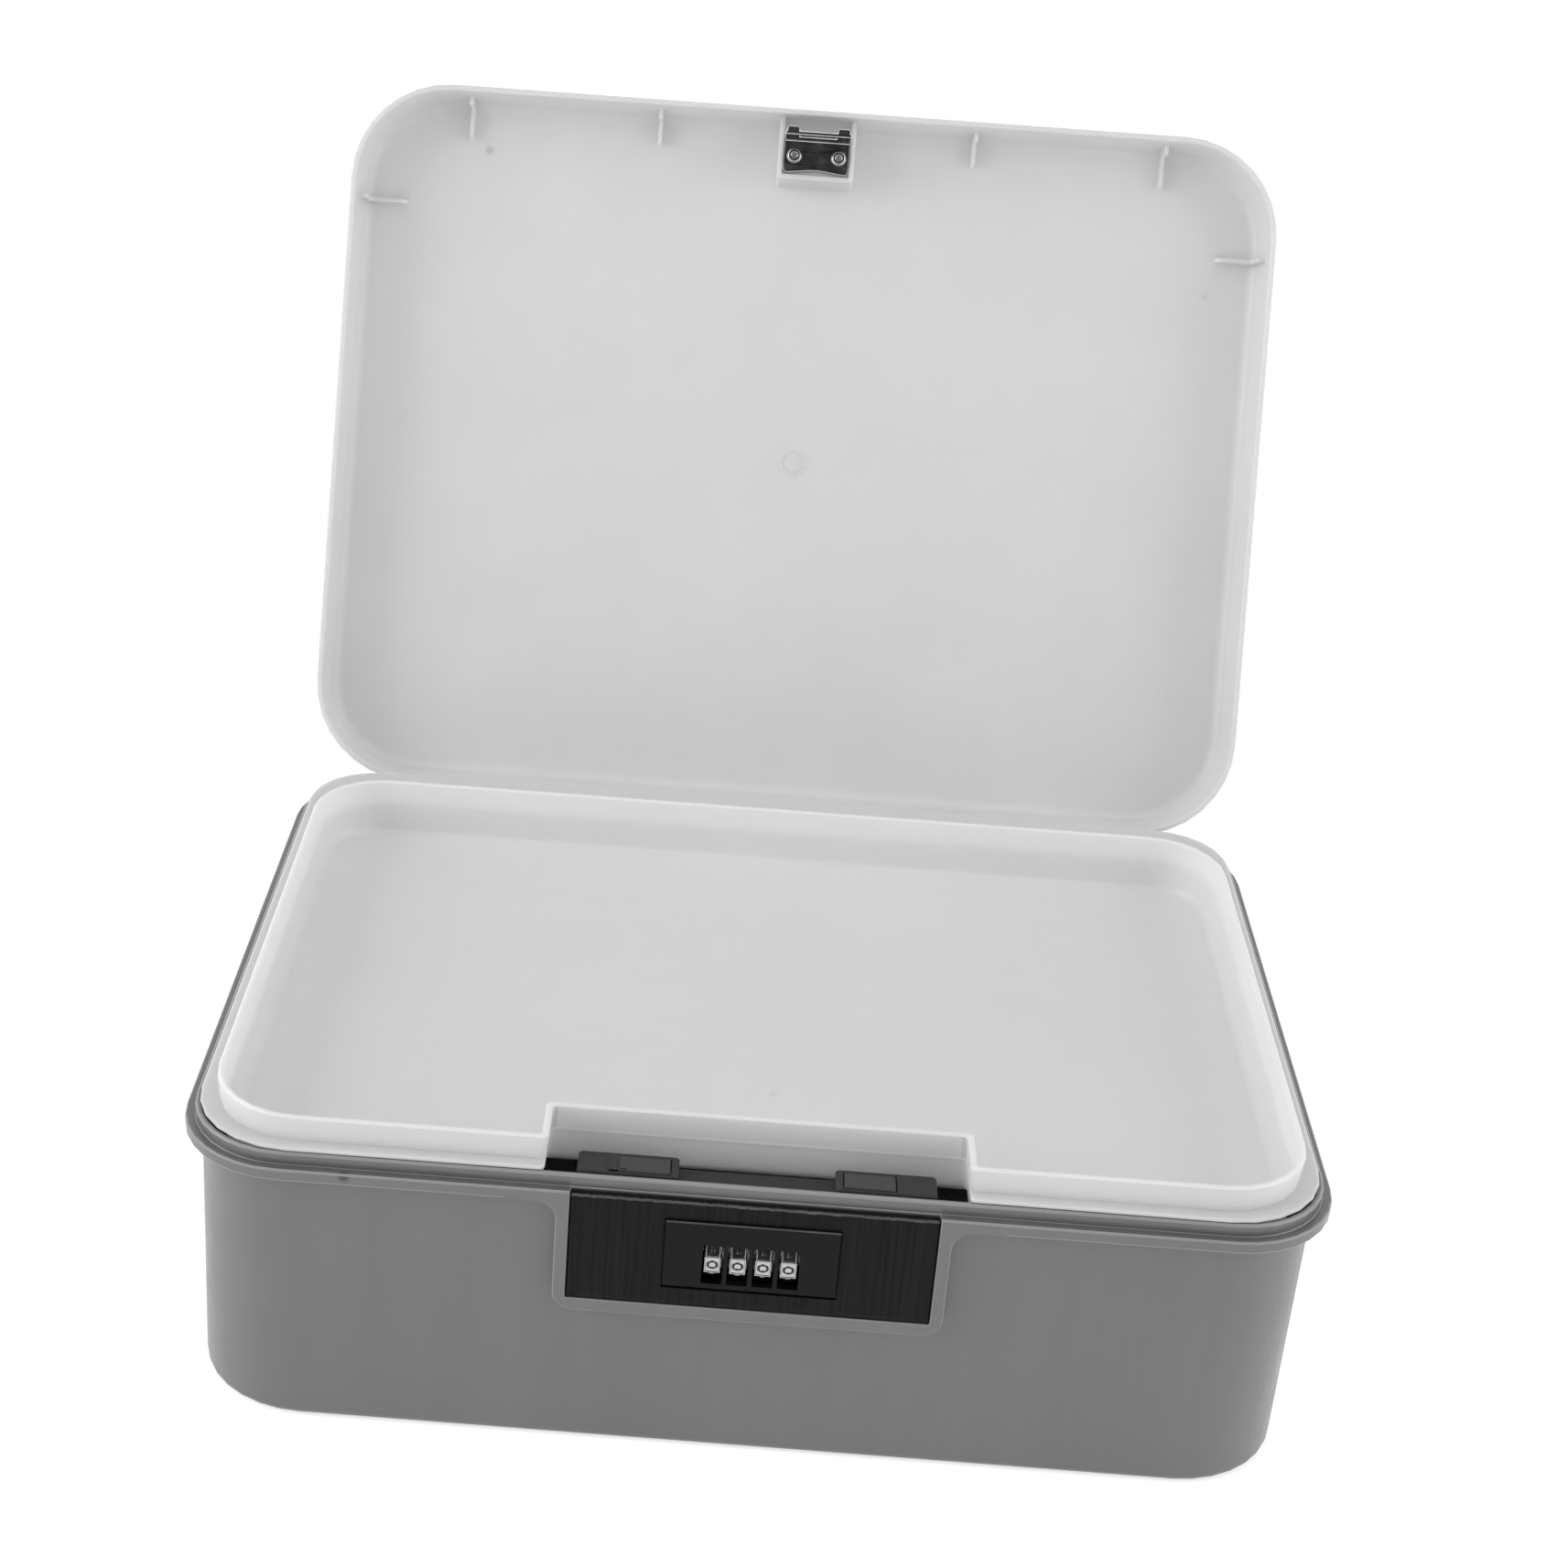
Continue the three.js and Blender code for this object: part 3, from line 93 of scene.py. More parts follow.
# Face plate: its upright ridges, each noise with its pace across and upward and its seed
RIDGE_STEP = 0.36
RIDGE_ROWS = 9
RIDGE_DEPTH = 0.2
FINE_RIDGES = (2.3, 0.03, 3.7)
BROAD_RIDGES = (0.35, 0.02, 9.1)

# Button's panel
PANEL_WIDTH = 49
PANEL_TOP = LEDGE - 6.6
PANEL_FOOT = PANEL_TOP - 22.7

# Screws of the lock's rear cover
CASE_SCREWS = 4

# Number wheels: their tilt in radians, and the y and z of their axis in metres
WHEELS = 4
WHEEL_RADIUS = 8.7
WHEEL_FACETS = 10
WHEEL_WIDTH = 5.2
WHEEL_TILT = math.radians(-5.2)
wheel_low, wheel_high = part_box("number_wheel_1")
WHEEL_AXIS = ((wheel_low.y + wheel_high.y) / 2, (wheel_low.z + wheel_high.z) / 2)

# The frame of each facet, and the raised digit inside it
FRAME_WIDTH = 0.35
FRAME_SLOPE = 0.24
FRAME_DEPTH = 0.2
DIGIT_WIDTH = 2.6
DIGIT_HEIGHT = 2.3
DIGIT_PROUD = 0.13
DIGIT_SINK = 0.02
DIGIT_SLOPE = 0.15
SINGLE_BAR_SLOPE = 0.34
STROKE = 0.52

# Studio, in metres. The world and the floor show brighter than the light they give to the object.
WORLD_LEVEL = 0.49
FLOOR_GLOW = 0.3
FLOOR_SHOWN = 0.55
FLOOR_HALF = 6
FLOOR_DROP = 0.0004
FLAG_REACH = 1.35
FLAG_LIFT = 0.15
FLAG_ANGLES = (6, 50)
FLAG_HALF_ANGLE = 30
LAMP_AIM = (0, 0, 0.1)


def add_object(name, data):
    """A new object in the scene."""
    thing = bpy.data.objects.new(name, data)
    bpy.context.scene.collection.objects.link(thing)
    return thing


def add_camera():
    """The photograph's camera."""
    right = Vector((math.cos(YAW), math.sin(YAW), 0))
    ahead = Vector((
        -math.sin(YAW) * math.cos(PITCH),
        math.cos(YAW) * math.cos(PITCH),
        -math.sin(PITCH),
    ))
    up = right.cross(ahead)
    side = math.cos(ROLL) * right + math.sin(ROLL) * up
    top = -math.sin(ROLL) * right + math.cos(ROLL) * up
    data = bpy.data.cameras.new("camera")
    data.sensor_width = SENSOR
    data.lens = FOCAL / IMAGE * SENSOR
    data.shift_x = (IMAGE / 2 - CENTRE[0]) / IMAGE
    data.shift_y = (CENTRE[1] - IMAGE / 2) / IMAGE
    data.clip_start = 0.01
    data.clip_end = 50
    camera = add_object("camera", data)
    turn = Matrix((side, top, -ahead)).transposed().to_4x4()
    camera.matrix_world = Matrix.Translation(Vector((EYE[0], EYE[1], EYE[2] + LEDGE)) * MM) @ turn
    bpy.context.scene.camera = camera


# Materials


class Nodes:
    """The nodes of a new material or world, and short calls that add to them."""

    def __init__(self, owner, output):
        owner.use_nodes = True
        self.tree = owner.node_tree
        self.tree.nodes.clear()
        self.out = self.put(output)

    def feed(self, socket, value):
        """Links an input to another node's output, or sets its own value."""
        if isinstance(value, bpy.types.NodeSocket):
            self.tree.links.new(value, socket)
        else:
            socket.default_value = value

    def put(self, kind, values=(), **settings):
        """A new node, with what its inputs are fed."""
        node = self.tree.nodes.new("ShaderNode" + kind)
        for key, value in settings.items():
            setattr(node, key, value)
        for key, value in dict(values).items():
            self.feed(node.inputs[key], value)
        return node

    def show(self, node):
        """Makes a shader the one that the surface or the world has."""
        self.feed(self.out.inputs["Surface"], node.outputs[0])

    def calc(self, operation, first, second):
        return self.put("Math", {0: first, 1: second}, operation=operation).outputs[0]

    def fit(self, value, low, high, start=0.3, end=0.7):
        """Low where the value is at the start, high where it is at the end. The usual ends suit noise."""
        values = {"Value": value, "From Min": start, "From Max": end, "To Min": low, "To Max": high}
        return self.put("MapRange", values).outputs[0]

    def seen_directly(self):
        """One for rays from the camera and for reflections and refractions of it."""
        path = self.put("LightPath").outputs
        first = self.calc("MAXIMUM", path["Is Camera Ray"], path["Is Glossy Ray"])
        return self.calc("MAXIMUM", first, path["Is Transmission Ray"])


class Graph(Nodes):
    """The nodes of a new material, whose textures are placed on the object in metres."""

    def __init__(self, name):
        self.material = bpy.data.materials.new(name)
        super().__init__(self.material, "OutputMaterial")
        self.spot = self.put("TexCoord").outputs["Object"]

    def shader(self, **values):
        """The material's only shader. An underscore stands for the space in an input's name."""
        inputs = {key.replace("_", " "): value for key, value in values.items()}
        self.show(self.put("BsdfPrincipled", inputs))
        return self.material

    def noise(self, scale, detail, stretch=(1, 1, 1)):
        """Noise that is finer along an axis with more stretch."""
        spot = self.put("Mapping", {"Vector": self.spot, "Scale": stretch}).outputs[0]
        return self.put("TexNoise", {"Vector": spot, "Scale": scale, "Detail": detail}).outputs[0]

    def blend(self, share, first, second):
        """A colour between two others."""
        return self.put("Mix", {0: share, 6: first, 7: second}, data_type="RGBA").outputs[2]

    def bump(self, height, depth):
        return self.put("Bump", {"Height": height, "Distance": depth * MM, "Strength": 1.0}).outputs[0]


def grey(level):
    return (level, level, level, 1)


def moulded(name, level, spread, rough, grain, depth, streak=0.5, specks=(), specular=0.5, **extra):
    """Moulded plastic: soft clouds, faint streaks and specks in its colour, a fine grain on its surface."""
    g = Graph(name)
    clouds = g.noise(scale=18, detail=4)
    streaks = g.noise(scale=30, detail=2, stretch=(3.2, 3.2, 0.12))
    mixed = g.calc("ADD", g.calc("MULTIPLY", clouds, 1 - streak), g.calc("MULTIPLY", streaks, streak))
    colour = g.blend(g.fit(mixed, 0, 1), grey(level * (1 - spread)), grey(level * (1 + spread)))
    for place, radius, strength in specks:
        ends = {0: g.spot, 1: Vector(place) * MM}
        away = g.put("VectorMath", ends, operation="DISTANCE").outputs["Value"]
        share = g.fit(away, strength, 0, start=radius * SPECK_CORE * MM, end=radius * MM)
        colour = g.blend(share, colour, grey(level * SPECK_LEVEL))
    rough_spread = 0.05
    return g.shader(
        Base_Color=colour,
        Roughness=g.fit(g.noise(scale=60, detail=3), rough - rough_spread, rough + rough_spread),
        Normal=g.bump(g.noise(scale=grain, detail=2), depth),
        Specular_IOR_Level=specular,
        **extra,
    )


def grooved(name, level, rough, specular):
    """Dark plastic with fine uneven upright grooves."""
    g = Graph(name)
    grooves = g.noise(scale=1400, detail=2, stretch=(1, 0.02, 0.02))
    broad = g.noise(scale=420, detail=1, stretch=(1, 0.02, 0.01))
    darkest, palest, rough_spread = grey(level * 0.6), grey(level * 1.7), 0.06
    return g.shader(
        Base_Color=g.blend(g.fit(grooves, 0, 1), darkest, palest),
        Roughness=g.fit(grooves, rough - rough_spread, rough + rough_spread),
        Normal=g.bump(g.calc("ADD", grooves, broad), depth=0.02),
        Specular_IOR_Level=specular,
    )


def plated(name, level, rough, stretch=(1, 1, 1), spread=0.07):
    """Plated or brushed metal with fine drawn lines and faint smudges."""
    g = Graph(name)
    lines = g.noise(scale=2600, detail=2, stretch=stretch)
    smudge = g.noise(scale=140, detail=3)
    darkest, palest = grey(level * (1 - spread)), grey(level * (1 + spread * 0.5))
    least_rough, most_rough, smudge_rough = rough * 0.8, rough * 1.2, 0.05
    return g.shader(
        Base_Color=g.blend(g.fit(smudge, 0, 1), darkest, palest),
        Metallic=1.0,
        Roughness=g.calc("ADD", g.fit(lines, least_rough, most_rough), g.fit(smudge, 0, smudge_rough)),
        Normal=g.bump(lines, depth=0.002),
    )


def lid_specks():
    """The lid's specks in the open lid's place."""
    return [
        (TO_OPEN @ (Vector(place) - LID_AXIS) + LID_AXIS, radius, strength)
        for place, radius, strength in LID_SPECKS
    ]


def make_materials():
    return {
        # Paler body grey for the rounded edges of the box: a painted highlight
        "body_edge_highlight": moulded("body_grey_edge_highlight", level=0.3, spread=0.05, rough=0.34, grain=2600, depth=0.02),
        "body": moulded(
            "body_grey", level=0.13, spread=0.07, rough=0.32, grain=2600, depth=0.03,
            streak=0.6, specks=BODY_SPECKS, specular=0.9,
        ),
        "tray": moulded(
            "tray_white", level=0.82, spread=0.02, rough=0.42, grain=2200, depth=0.02,
            streak=0.2, specks=TRAY_SPECKS, **SOFT,
        ),
        # Darker tray white for the outside of the tray's walls: painted shade
        "tray_wall_shade": moulded(
            "tray_white_painted_shade", level=0.68, spread=0.02, rough=0.42, grain=2200, depth=0.02,
            streak=0.2, **SOFT,
        ),
        "lid": moulded(
            "lid_pale", level=0.675, spread=0.02, rough=0.46, grain=2200, depth=0.02,
            streak=0.2, specks=lid_specks(), **SOFT,
        ),
        "plate": grooved("plate_black", level=0.008, rough=0.42, specular=0.1),
        # Paler black on the top and right edges of the plate and button: a painted highlight
        "edge_highlight": moulded("black_edge_highlight", level=0.07, spread=0.45, rough=0.34, grain=2400, depth=0.02),
        "button": moulded(
            "button_black", level=0.009, spread=0.12, rough=0.36, grain=2400, depth=0.01, specular=0.1,
        ),
        "case": moulded(
            "case_charcoal", level=0.032, spread=0.08, rough=0.5, grain=2400, depth=0.03, specular=0.25,
        ),
        "inset": moulded(
            "inset_charcoal", level=0.05, spread=0.08, rough=0.45, grain=2400, depth=0.02, specular=0.3,
        ),
        "wheel": plated("wheel_chrome", level=0.46, rough=0.16, stretch=(0.02, 1, 1)),
        "bright": plated("bright_steel", level=0.8, rough=0.2, stretch=(0.03, 1, 1)),
        "dark": plated("dark_steel", level=0.32, rough=0.2, stretch=(0.03, 1, 1), spread=0.45),
        "screw": plated("screw_steel", level=0.34, rough=0.2, stretch=(1, 1, 0.03)),
        "hub": plated("hub_steel", level=0.5, rough=0.35, stretch=(0.03, 1, 1)),
        "spring": plated("spring_steel", level=0.45, rough=0.32),
        # Dark ink of the digits, also used as painted shade on the downward walls of the facet frames
        "ink_and_shade": moulded("digit_ink_and_frame_shade", level=0.012, spread=0.1, rough=0.5, grain=3000, depth=0.005),
    }


# Edges


def ramp(value, low, high):
    """Zero up to low, one from high on, and even steps between them."""
    return min(max((value - low) / (high - low), 0), 1)


def gap_between(first, second):
    """Least distance between two edges that don't meet."""
    least = 1.0
    for point_edge, line in ((first, second), (second, first)):
        start, end = (vertex.co for vertex in line.verts)
        along = end - start
        for vertex in point_edge.verts:
            share = ramp((vertex.co - start).dot(along) / max(along.length_squared, 1e-18), 0, 1)
            least = min(least, (vertex.co - start - along * share).length)
    return least


def corner_between(first, second):
    """Angle between two edges that meet, in radians, or None."""
    shared = set(first.verts) & set(second.verts)
    if not shared:
        return None
    vertex = shared.pop()
    one, two = (edge.other_vert(vertex).co - vertex.co for edge in (first, second))
    return one.angle(two, math.pi)


def edge_room(edge, width, sharp):
    """Widest rounding of an edge that stays clear of its neighbours' on both faces."""
    widest_corner, least_sine = 3.1, 0.3
    room = width
    for face in edge.link_faces:
        for other in face.edges:
            if other == edge:
                continue
            corner = corner_between(edge, other)
            if corner is None:
                share = SHARE_BY_ROUNDED if other in sharp else SHARE_BY_PLAIN
                room = min(room, gap_between(edge, other) * share)
            elif other in sharp:
                shorter = min(edge.calc_length(), other.calc_length())
                room = min(room, SHARE_BY_ROUNDED * shorter * math.tan(min(corner, widest_corner) / 2))
            else:
                reach = max(math.sin(corner), least_sine)
                room = min(room, SHARE_BY_PLAIN * other.calc_length() * reach)
    return room


def weigh_edges(work, width, angle):
    """Gives each sharp edge the share of the full rounding that it has room for."""
    nearly_straight = 2.3
    layer = work.edges.layers.float.new("bevel_weight_edge")
    sharp = {
        edge for edge in work.edges
        if len(edge.link_faces) == 2 and edge.calc_face_angle(0) > math.radians(angle)
    }
    room = {edge: edge_room(edge, width, sharp) for edge in sharp}
    for _ in range(ROUNDING_PASSES):
        for edge in sorted(sharp, key=lambda item: item.index):
            for vertex in edge.verts:
                for other in vertex.link_edges:
                    if other not in sharp or other == edge:
                        continue
                    if corner_between(edge, other) > nearly_straight:
                        room[edge] = min(room[edge], room[other] * ROUNDING_STEP)
    for edge in sharp:
        edge[layer] = room[edge] / width


def mark_edges(work):
    """Gives the second material, a painted highlight, to the narrow facets that round an outer edge."""
    narrow, long_share = 0.75 * MM, 0.4
    for face in work.faces:
        lengths = [edge.calc_length() for edge in face.edges]
        longest = max(lengths)
        if face.calc_area() / longest > narrow:
            continue
        long_edges = [edge for edge, length in zip(face.edges, lengths) if length > long_share * longest]
        if all(edge.is_convex for edge in long_edges):
            face.material_index = 1


# Pieces


def finished(mesh, name, materials, rounding, angle=SHARP_ANGLE, edge_highlight=False):
    """A shown piece with rounded edges and even shading. The last material may go on the rounded edges as a
    painted highlight.
    """
    piece = add_object(name, mesh)
    for material in materials:
        mesh.materials.append(material)
    if rounding:
        bevel = piece.modifiers.new("edges", "BEVEL")
        bevel.width = rounding * MM
        bevel.segments = 2
        bevel.limit_method = "WEIGHT" if name in WEIGHED_PIECES else "ANGLE"
        bevel.angle_limit = math.radians(angle)
        bevel.harden_normals = True
        bevel.use_clamp_overlap = name not in WEIGHED_PIECES
        bevel.material = len(materials) - 1 if edge_highlight else -1
    even = piece.modifiers.new("shading", "WEIGHTED_NORMAL")
    even.keep_sharp = True
    even.weight = 80
    return piece


def dress(node, name, materials, rounding, body, angle=SHARP_ANGLE, shape=None, edge_highlight=False):
    """Stands for a CAD node with the same shape, rounded along its edges, or shaped further."""
    same_spot, same_plane = 0.002 * MM, 0.6
    mesh = nodes[node].data.copy()
    mesh.name = name
    mesh.materials.clear()
    work = bmesh.new()
    work.from_mesh(mesh)
    bmesh.ops.remove_doubles(work, verts=work.verts, dist=same_spot)
    bmesh.ops.dissolve_limit(
        work, angle_limit=math.radians(same_plane), verts=work.verts, edges=work.edges, delimit={"NORMAL"},
    )
    for face in work.faces:
        face.material_index = 0
    if shape:
        shape(work)
    if name in WEIGHED_PIECES:
        work.edges.index_update()
        weigh_edges(work, rounding * MM, angle)
    for face in work.faces:
        face.smooth = True
    for edge in work.edges:
        edge.smooth = len(edge.link_faces) == 2 and edge.calc_face_angle(0) < math.radians(angle)
    work.to_mesh(mesh)
    work.free()
    piece = finished(mesh, name, materials, rounding, angle, edge_highlight)
    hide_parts(node)
    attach(piece, body)
    return piece


def keep(node, material):
    """A CAD node that is shown as it is, with a better material."""
    for place in nodes[node].material_slots:
        place.material = material


def shape_body(work):
    """A slightly wider band round the face plate, a lower rim, flatter knuckles and painted highlights on
    the edges.
    """
    ledge, front = LEDGE * MM, FRONT * MM
    band_rear, band_top, band_start, band_end = front + 12 * MM, ledge - 3.6 * MM, 40, 82
    lip_rear, lip_top, lip_start, lip_end = front + 7 * MM, ledge + 0.5 * MM, 50, 52
    lip_wider = 0.5
    rim_foot, rim_drop = ledge + 2 * MM, 0.25 * MM
    knuckle_front, knuckle_gap, knuckle_drop = 123.4 * MM, 0.2 * MM, 0.27
    for vertex in work.verts:
        spot = vertex.co
        across = abs(spot.x) / MM
        if spot.y < band_rear and spot.z < band_top and band_start < across < band_end:
            wider = sum(most * ramp(across, low, high) for most, low, high in BAND_STEPS)
            spot.x += math.copysign(wider * MM, spot.x)
        elif spot.y < lip_rear and spot.z < lip_top and lip_start < across < lip_end:
            spot.x += math.copysign(lip_wider * MM, spot.x)
        if spot.z > rim_foot:
            spot.z -= rim_drop
        elif spot.y > knuckle_front and spot.z > ledge + knuckle_gap:
            spot.z -= knuckle_drop * (spot.z - ledge - knuckle_gap)
    work.normal_update()
    mark_edges(work)


def shape_tray(work):
    """A thinner flange with rounder front corners, and painted shade on the outside of the walls."""
    low, high, cad_low, thinner = 92.2, 94.1, 92.4, 0.63
    side, front, radius = 161.4, 120.4, 26
    inward, forward, rounder = 0.5, 0.2, 3
    corner_depth, side_strip, least = 2, 158, -0.01
    for vertex in work.verts:
        x, y, z = (part / MM for part in vertex.co)
        if not low < z < high:
            continue
        right = math.copysign(1, x)
        from_x, from_y = abs(x) - (side - radius), -y - (front - radius)
        reach = math.hypot(from_x, from_y)
        if from_x >= least and from_y >= least and reach > radius - corner_depth:
            x = right * (side - inward - radius - rounder + from_x * (reach + rounder) / reach)
            y = -(front + forward - radius - rounder + from_y * (reach + rounder) / reach)
        elif abs(x) > side_strip:
            x -= inward * right
        z = low + (z - cad_low) * thinner
        vertex.co = Vector((x, y, z)) * MM
    work.normal_update()
    # The outside of the walls above their foot takes the darker copy: painted shade
    wall_foot, notch_half = 93 * MM, 53 * MM
    for face in work.faces:
        middle = face.calc_center_median()
        outward = face.normal.x * middle.x + face.normal.y * middle.y > 0
        upright = abs(face.normal.z) < 0.5
        in_notch = middle.y < 0 and abs(middle.x) < notch_half
        if outward and upright and not in_notch and middle.z > wall_foot:
            face.material_index = 1


def shape_lid(work):
    """A drafted rear wall of the strike's boss, and shorter side ribs. The numbers are for the shut lid."""
    axis = LID_AXIS * MM
    boss_half, boss_rear, boss_near, boss_head, draft = 14, -101.3, 1.2, 98, 1.4
    rib_y, rib_half, rib_near, rib_start, rib_end, rib_shorter = -84.5, 0.7, 0.2, 142, 153, 1.7
    for vertex in work.verts:
        x, y, z = (part / MM for part in TO_SHUT @ (vertex.co - axis) + axis)
        if abs(x) < boss_half and abs(y - boss_rear) < boss_near and z > boss_head:
            y += draft
        elif abs(abs(y - rib_y) - rib_half) < rib_near and rib_start < abs(x) < rib_end:
            x += math.copysign(rib_shorter, x)
        else:
            continue
        vertex.co = TO_OPEN @ (Vector((x, y, z)) * MM - axis) + axis


def shape_button(work):
    """The panel's foot, top and number windows a little higher, and a painted highlight on its top and
    right edges.
    """
    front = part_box("release_button")[0].y
    panel_rear, foot_strip, foot_lift = front + 1.4 * MM, 1 * MM, 1.1 * MM
    top_strip, top_lift = 0.6 * MM, 0.2 * MM
    windows_half, windows_rear, windows_margin, windows_lift = 16 * MM, front + 2.2 * MM, 3, 0.73 * MM
    for vertex in work.verts:
        spot = vertex.co
        if spot.y < panel_rear:
            if spot.z < PANEL_FOOT * MM + foot_strip:
                spot.z += foot_lift
            elif spot.z > PANEL_TOP * MM - top_strip:
                spot.z += top_lift
        in_windows = PANEL_FOOT + windows_margin < spot.z / MM < PANEL_TOP - windows_margin
        if in_windows and abs(spot.x) < windows_half and spot.y < windows_rear:
            spot.z += windows_lift
    work.normal_update()
    # Top and right edge faces take the paler black: a painted highlight where light falls on them
    edge_strip, edge_rear = 1, front + 1.1 * MM
    for face in work.faces:
        middle = face.calc_center_median()
        sloping_up = face.normal.z > 0.3 and face.normal.y < -0.3
        sloping_right = face.normal.x > 0.2 and face.normal.y < -0.8
        top = sloping_up and middle.z > (PANEL_TOP - edge_strip) * MM
        side = sloping_right and middle.x > (PANEL_WIDTH / 2 - edge_strip) * MM
        if (top or side) and middle.y < edge_rear:
            face.material_index = 1


def shape_screw(work):
    """A small cone in the socket of a screw's head."""
    facing, most_area, least_corners, cone = 0.99, 8 * MM * MM, 9, 0.8 * MM
    out = Vector((0, -math.sin(OPEN), -math.cos(OPEN)))
    inner = []
    for face in work.faces:
        small = face.calc_area() < most_area and len(face.verts) >= least_corners
        if small and face.normal.dot(out) > facing:
            inner.append(face)
    if inner:
        socket = min(inner, key=lambda face: face.calc_area())
        bmesh.ops.poke(work, faces=[socket], offset=cone)


def cut(work, low, high, count, normal):
    """Cuts a piece at evenly spaced planes between two places."""
    for i in range(count):
        place = low + (high - low) * (i + 0.5) / count
        geometry = work.verts[:] + work.edges[:] + work.faces[:]
        spot = [part * place for part in normal]
        bmesh.ops.bisect_plane(work, geom=geometry, plane_co=spot, plane_no=normal)


def shape_plate(work):
    """A slightly wider plate with fine uneven upright ridges, a top edge rubbed down unevenly, and a
    painted highlight on that edge's upward faces.
    """
    end, wider = 49 * MM, 0.5 * MM
    for vertex in work.verts:
        if abs(vertex.co.x) > end:
            vertex.co.x += math.copysign(wider, vertex.co.x)
    low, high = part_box("lock_face_plate")
    cut(work, low.x, high.x, round((high.x - low.x) / (RIDGE_STEP * MM)), (1, 0, 0))
    cut(work, low.z, high.z, RIDGE_ROWS, (0, 0, 1))
    face_depth, top_strip, top_depth = 0.02 * MM, 0.6 * MM, 0.35 * MM
    ridge_middle, fine_share, broad_share, wear_middle = 0.5, 0.9, 0.4, 0.4
    for vertex in work.verts:
        if vertex.co.y < low.y + face_depth:
            x, z = vertex.co.x / MM, vertex.co.z / MM
            fine, broad = (
                noise.noise(Vector((x * across, z * upward, seed)))
                for across, upward, seed in (FINE_RIDGES, BROAD_RIDGES)
            )
            ridge = ridge_middle + fine_share * fine + broad_share * broad
            vertex.co.y += RIDGE_DEPTH * MM * ramp(ridge, 0, 1)
            if vertex.co.z > high.z - top_strip:
                vertex.co.z -= top_depth * ramp(wear_middle + fine + broad, 0, 1)
    work.normal_update()
    # Faces that slope up along the top edge take the paler black: a painted highlight
    highlight_strip = 1 * MM
    for face in work.faces:
        middle = face.calc_center_median()
        sloping_up = face.normal.y < -0.3 and face.normal.z > 0.2
        if sloping_up and middle.z > high.z - highlight_strip:
            face.material_index = 1


def shape_wheel(work):
    """Turns a number wheel, and sinks the flat of each of its facets inside a narrow frame, whose
    downward-facing walls get painted shade.
    """
    wide, outer = 0.8 * WHEEL_WIDTH * MM, 0.9 * WHEEL_RADIUS * MM
    axis_y, axis_z = WHEEL_AXIS
    facets = []
    for face in work.faces:
        spots = [corner.co for corner in face.verts]
        across = max(p.x for p in spots) - min(p.x for p in spots)
        middle = face.calc_center_median()
        reach = math.hypot(middle.y - axis_y, middle.z - axis_z)
        round_side = abs(face.normal.x) < 0.1
        if round_side and across > wide and reach > outer:
            facets.append(face)
    centre = Vector((0, *WHEEL_AXIS))
    bmesh.ops.rotate(work, verts=work.verts, cent=centre, matrix=Matrix.Rotation(-WHEEL_TILT, 3, "X"))
    bmesh.ops.inset_individual(work, faces=facets, thickness=FRAME_WIDTH * MM, depth=0)
    made = bmesh.ops.inset_individual(
        work, faces=facets, thickness=FRAME_SLOPE * MM, depth=-FRAME_DEPTH * MM,
    )
    work.normal_update()
    # Frame walls that face down take the dark digit ink as painted shade
    for face in made["faces"]:
        middle = face.calc_center_median() - centre
        up = Vector((0, middle.z, -middle.y)).normalized()
        faces_down = face.normal.dot(up) < -0.3
        if faces_down:
            face.material_index = 1


# Digits


def arc(x, y, width, height, start, end, steps=14):
    """Points on an oval, from one angle to another."""
    turns = [math.radians(start + (end - start) * i / steps) for i in range(steps + 1)]
    return [(x + width / 2 * math.cos(t), y + height / 2 * math.sin(t)) for t in turns]


def ring(y, width, height, start, steps):
    """Points of a whole oval. The None at the end says that the line is closed."""
    return arc(0, y, width, height, start, start + 360, steps)[:-1] + [None]


def digit_strokes():
    """Centre lines of the ten digits, one unit wide and high."""
    return [
        [ring(0, 1, 1, 90, 28)],
        [[(0, 0.5), (0, -0.5)]],
        [arc(0, 0.2, 0.9, 0.6, 160, -45) + [(-0.45, -0.5), (0.5, -0.5)]],
        [arc(-0.05, 0.24, 0.9, 0.52, 150, -80) + arc(-0.05, -0.24, 1.0, 0.52, 80, -150)],
        [[(0.2, -0.5), (0.2, 0.5), (-0.5, -0.18), (0.5, -0.18)]],
        [[(0.4, 0.5), (-0.35, 0.5), (-0.4, 0.08)] + arc(-0.02, -0.18, 0.96, 0.64, 140, -150)],
        [[(0.3, 0.5), (-0.3, 0.1)] + arc(0, -0.18, 0.96, 0.64, 150, 500, 24)],
        [[(-0.45, 0.5), (0.45, 0.5), (-0.1, -0.5)]],
        [ring(0.24, 0.8, 0.52, -90, 24), ring(-0.24, 1, 0.52, 90, 24)],
        [[(-0.3, -0.5), (0.3, -0.1)] + arc(0, 0.18, 0.96, 0.64, -30, 320, 24)],
    ]


def stroke_rows(line):
    """For each point of a centre line: the point and the direction across it."""
    closed = line[-1] is None
    spots = [Vector((x * DIGIT_WIDTH, y * DIGIT_HEIGHT)) for x, y in (line[:-1] if closed else line)]
    least_cosine = 0.5
    rows = []
    for i, spot in enumerate(spots):
        before = spots[i - 1] if closed or i else spot
        after = spots[(i + 1) % len(spots)] if closed or i + 1 < len(spots) else spot
        first, second = (spot - before), (after - spot)
        first = first.normalized() if first.length else second.normalized()
        second = second.normalized() if second.length else first
        along = (first + second).normalized()
        across = Vector((along.y, -along.x)) / max(along.dot(first), least_cosine)
        rows.append((spot, across))
    return rows, closed


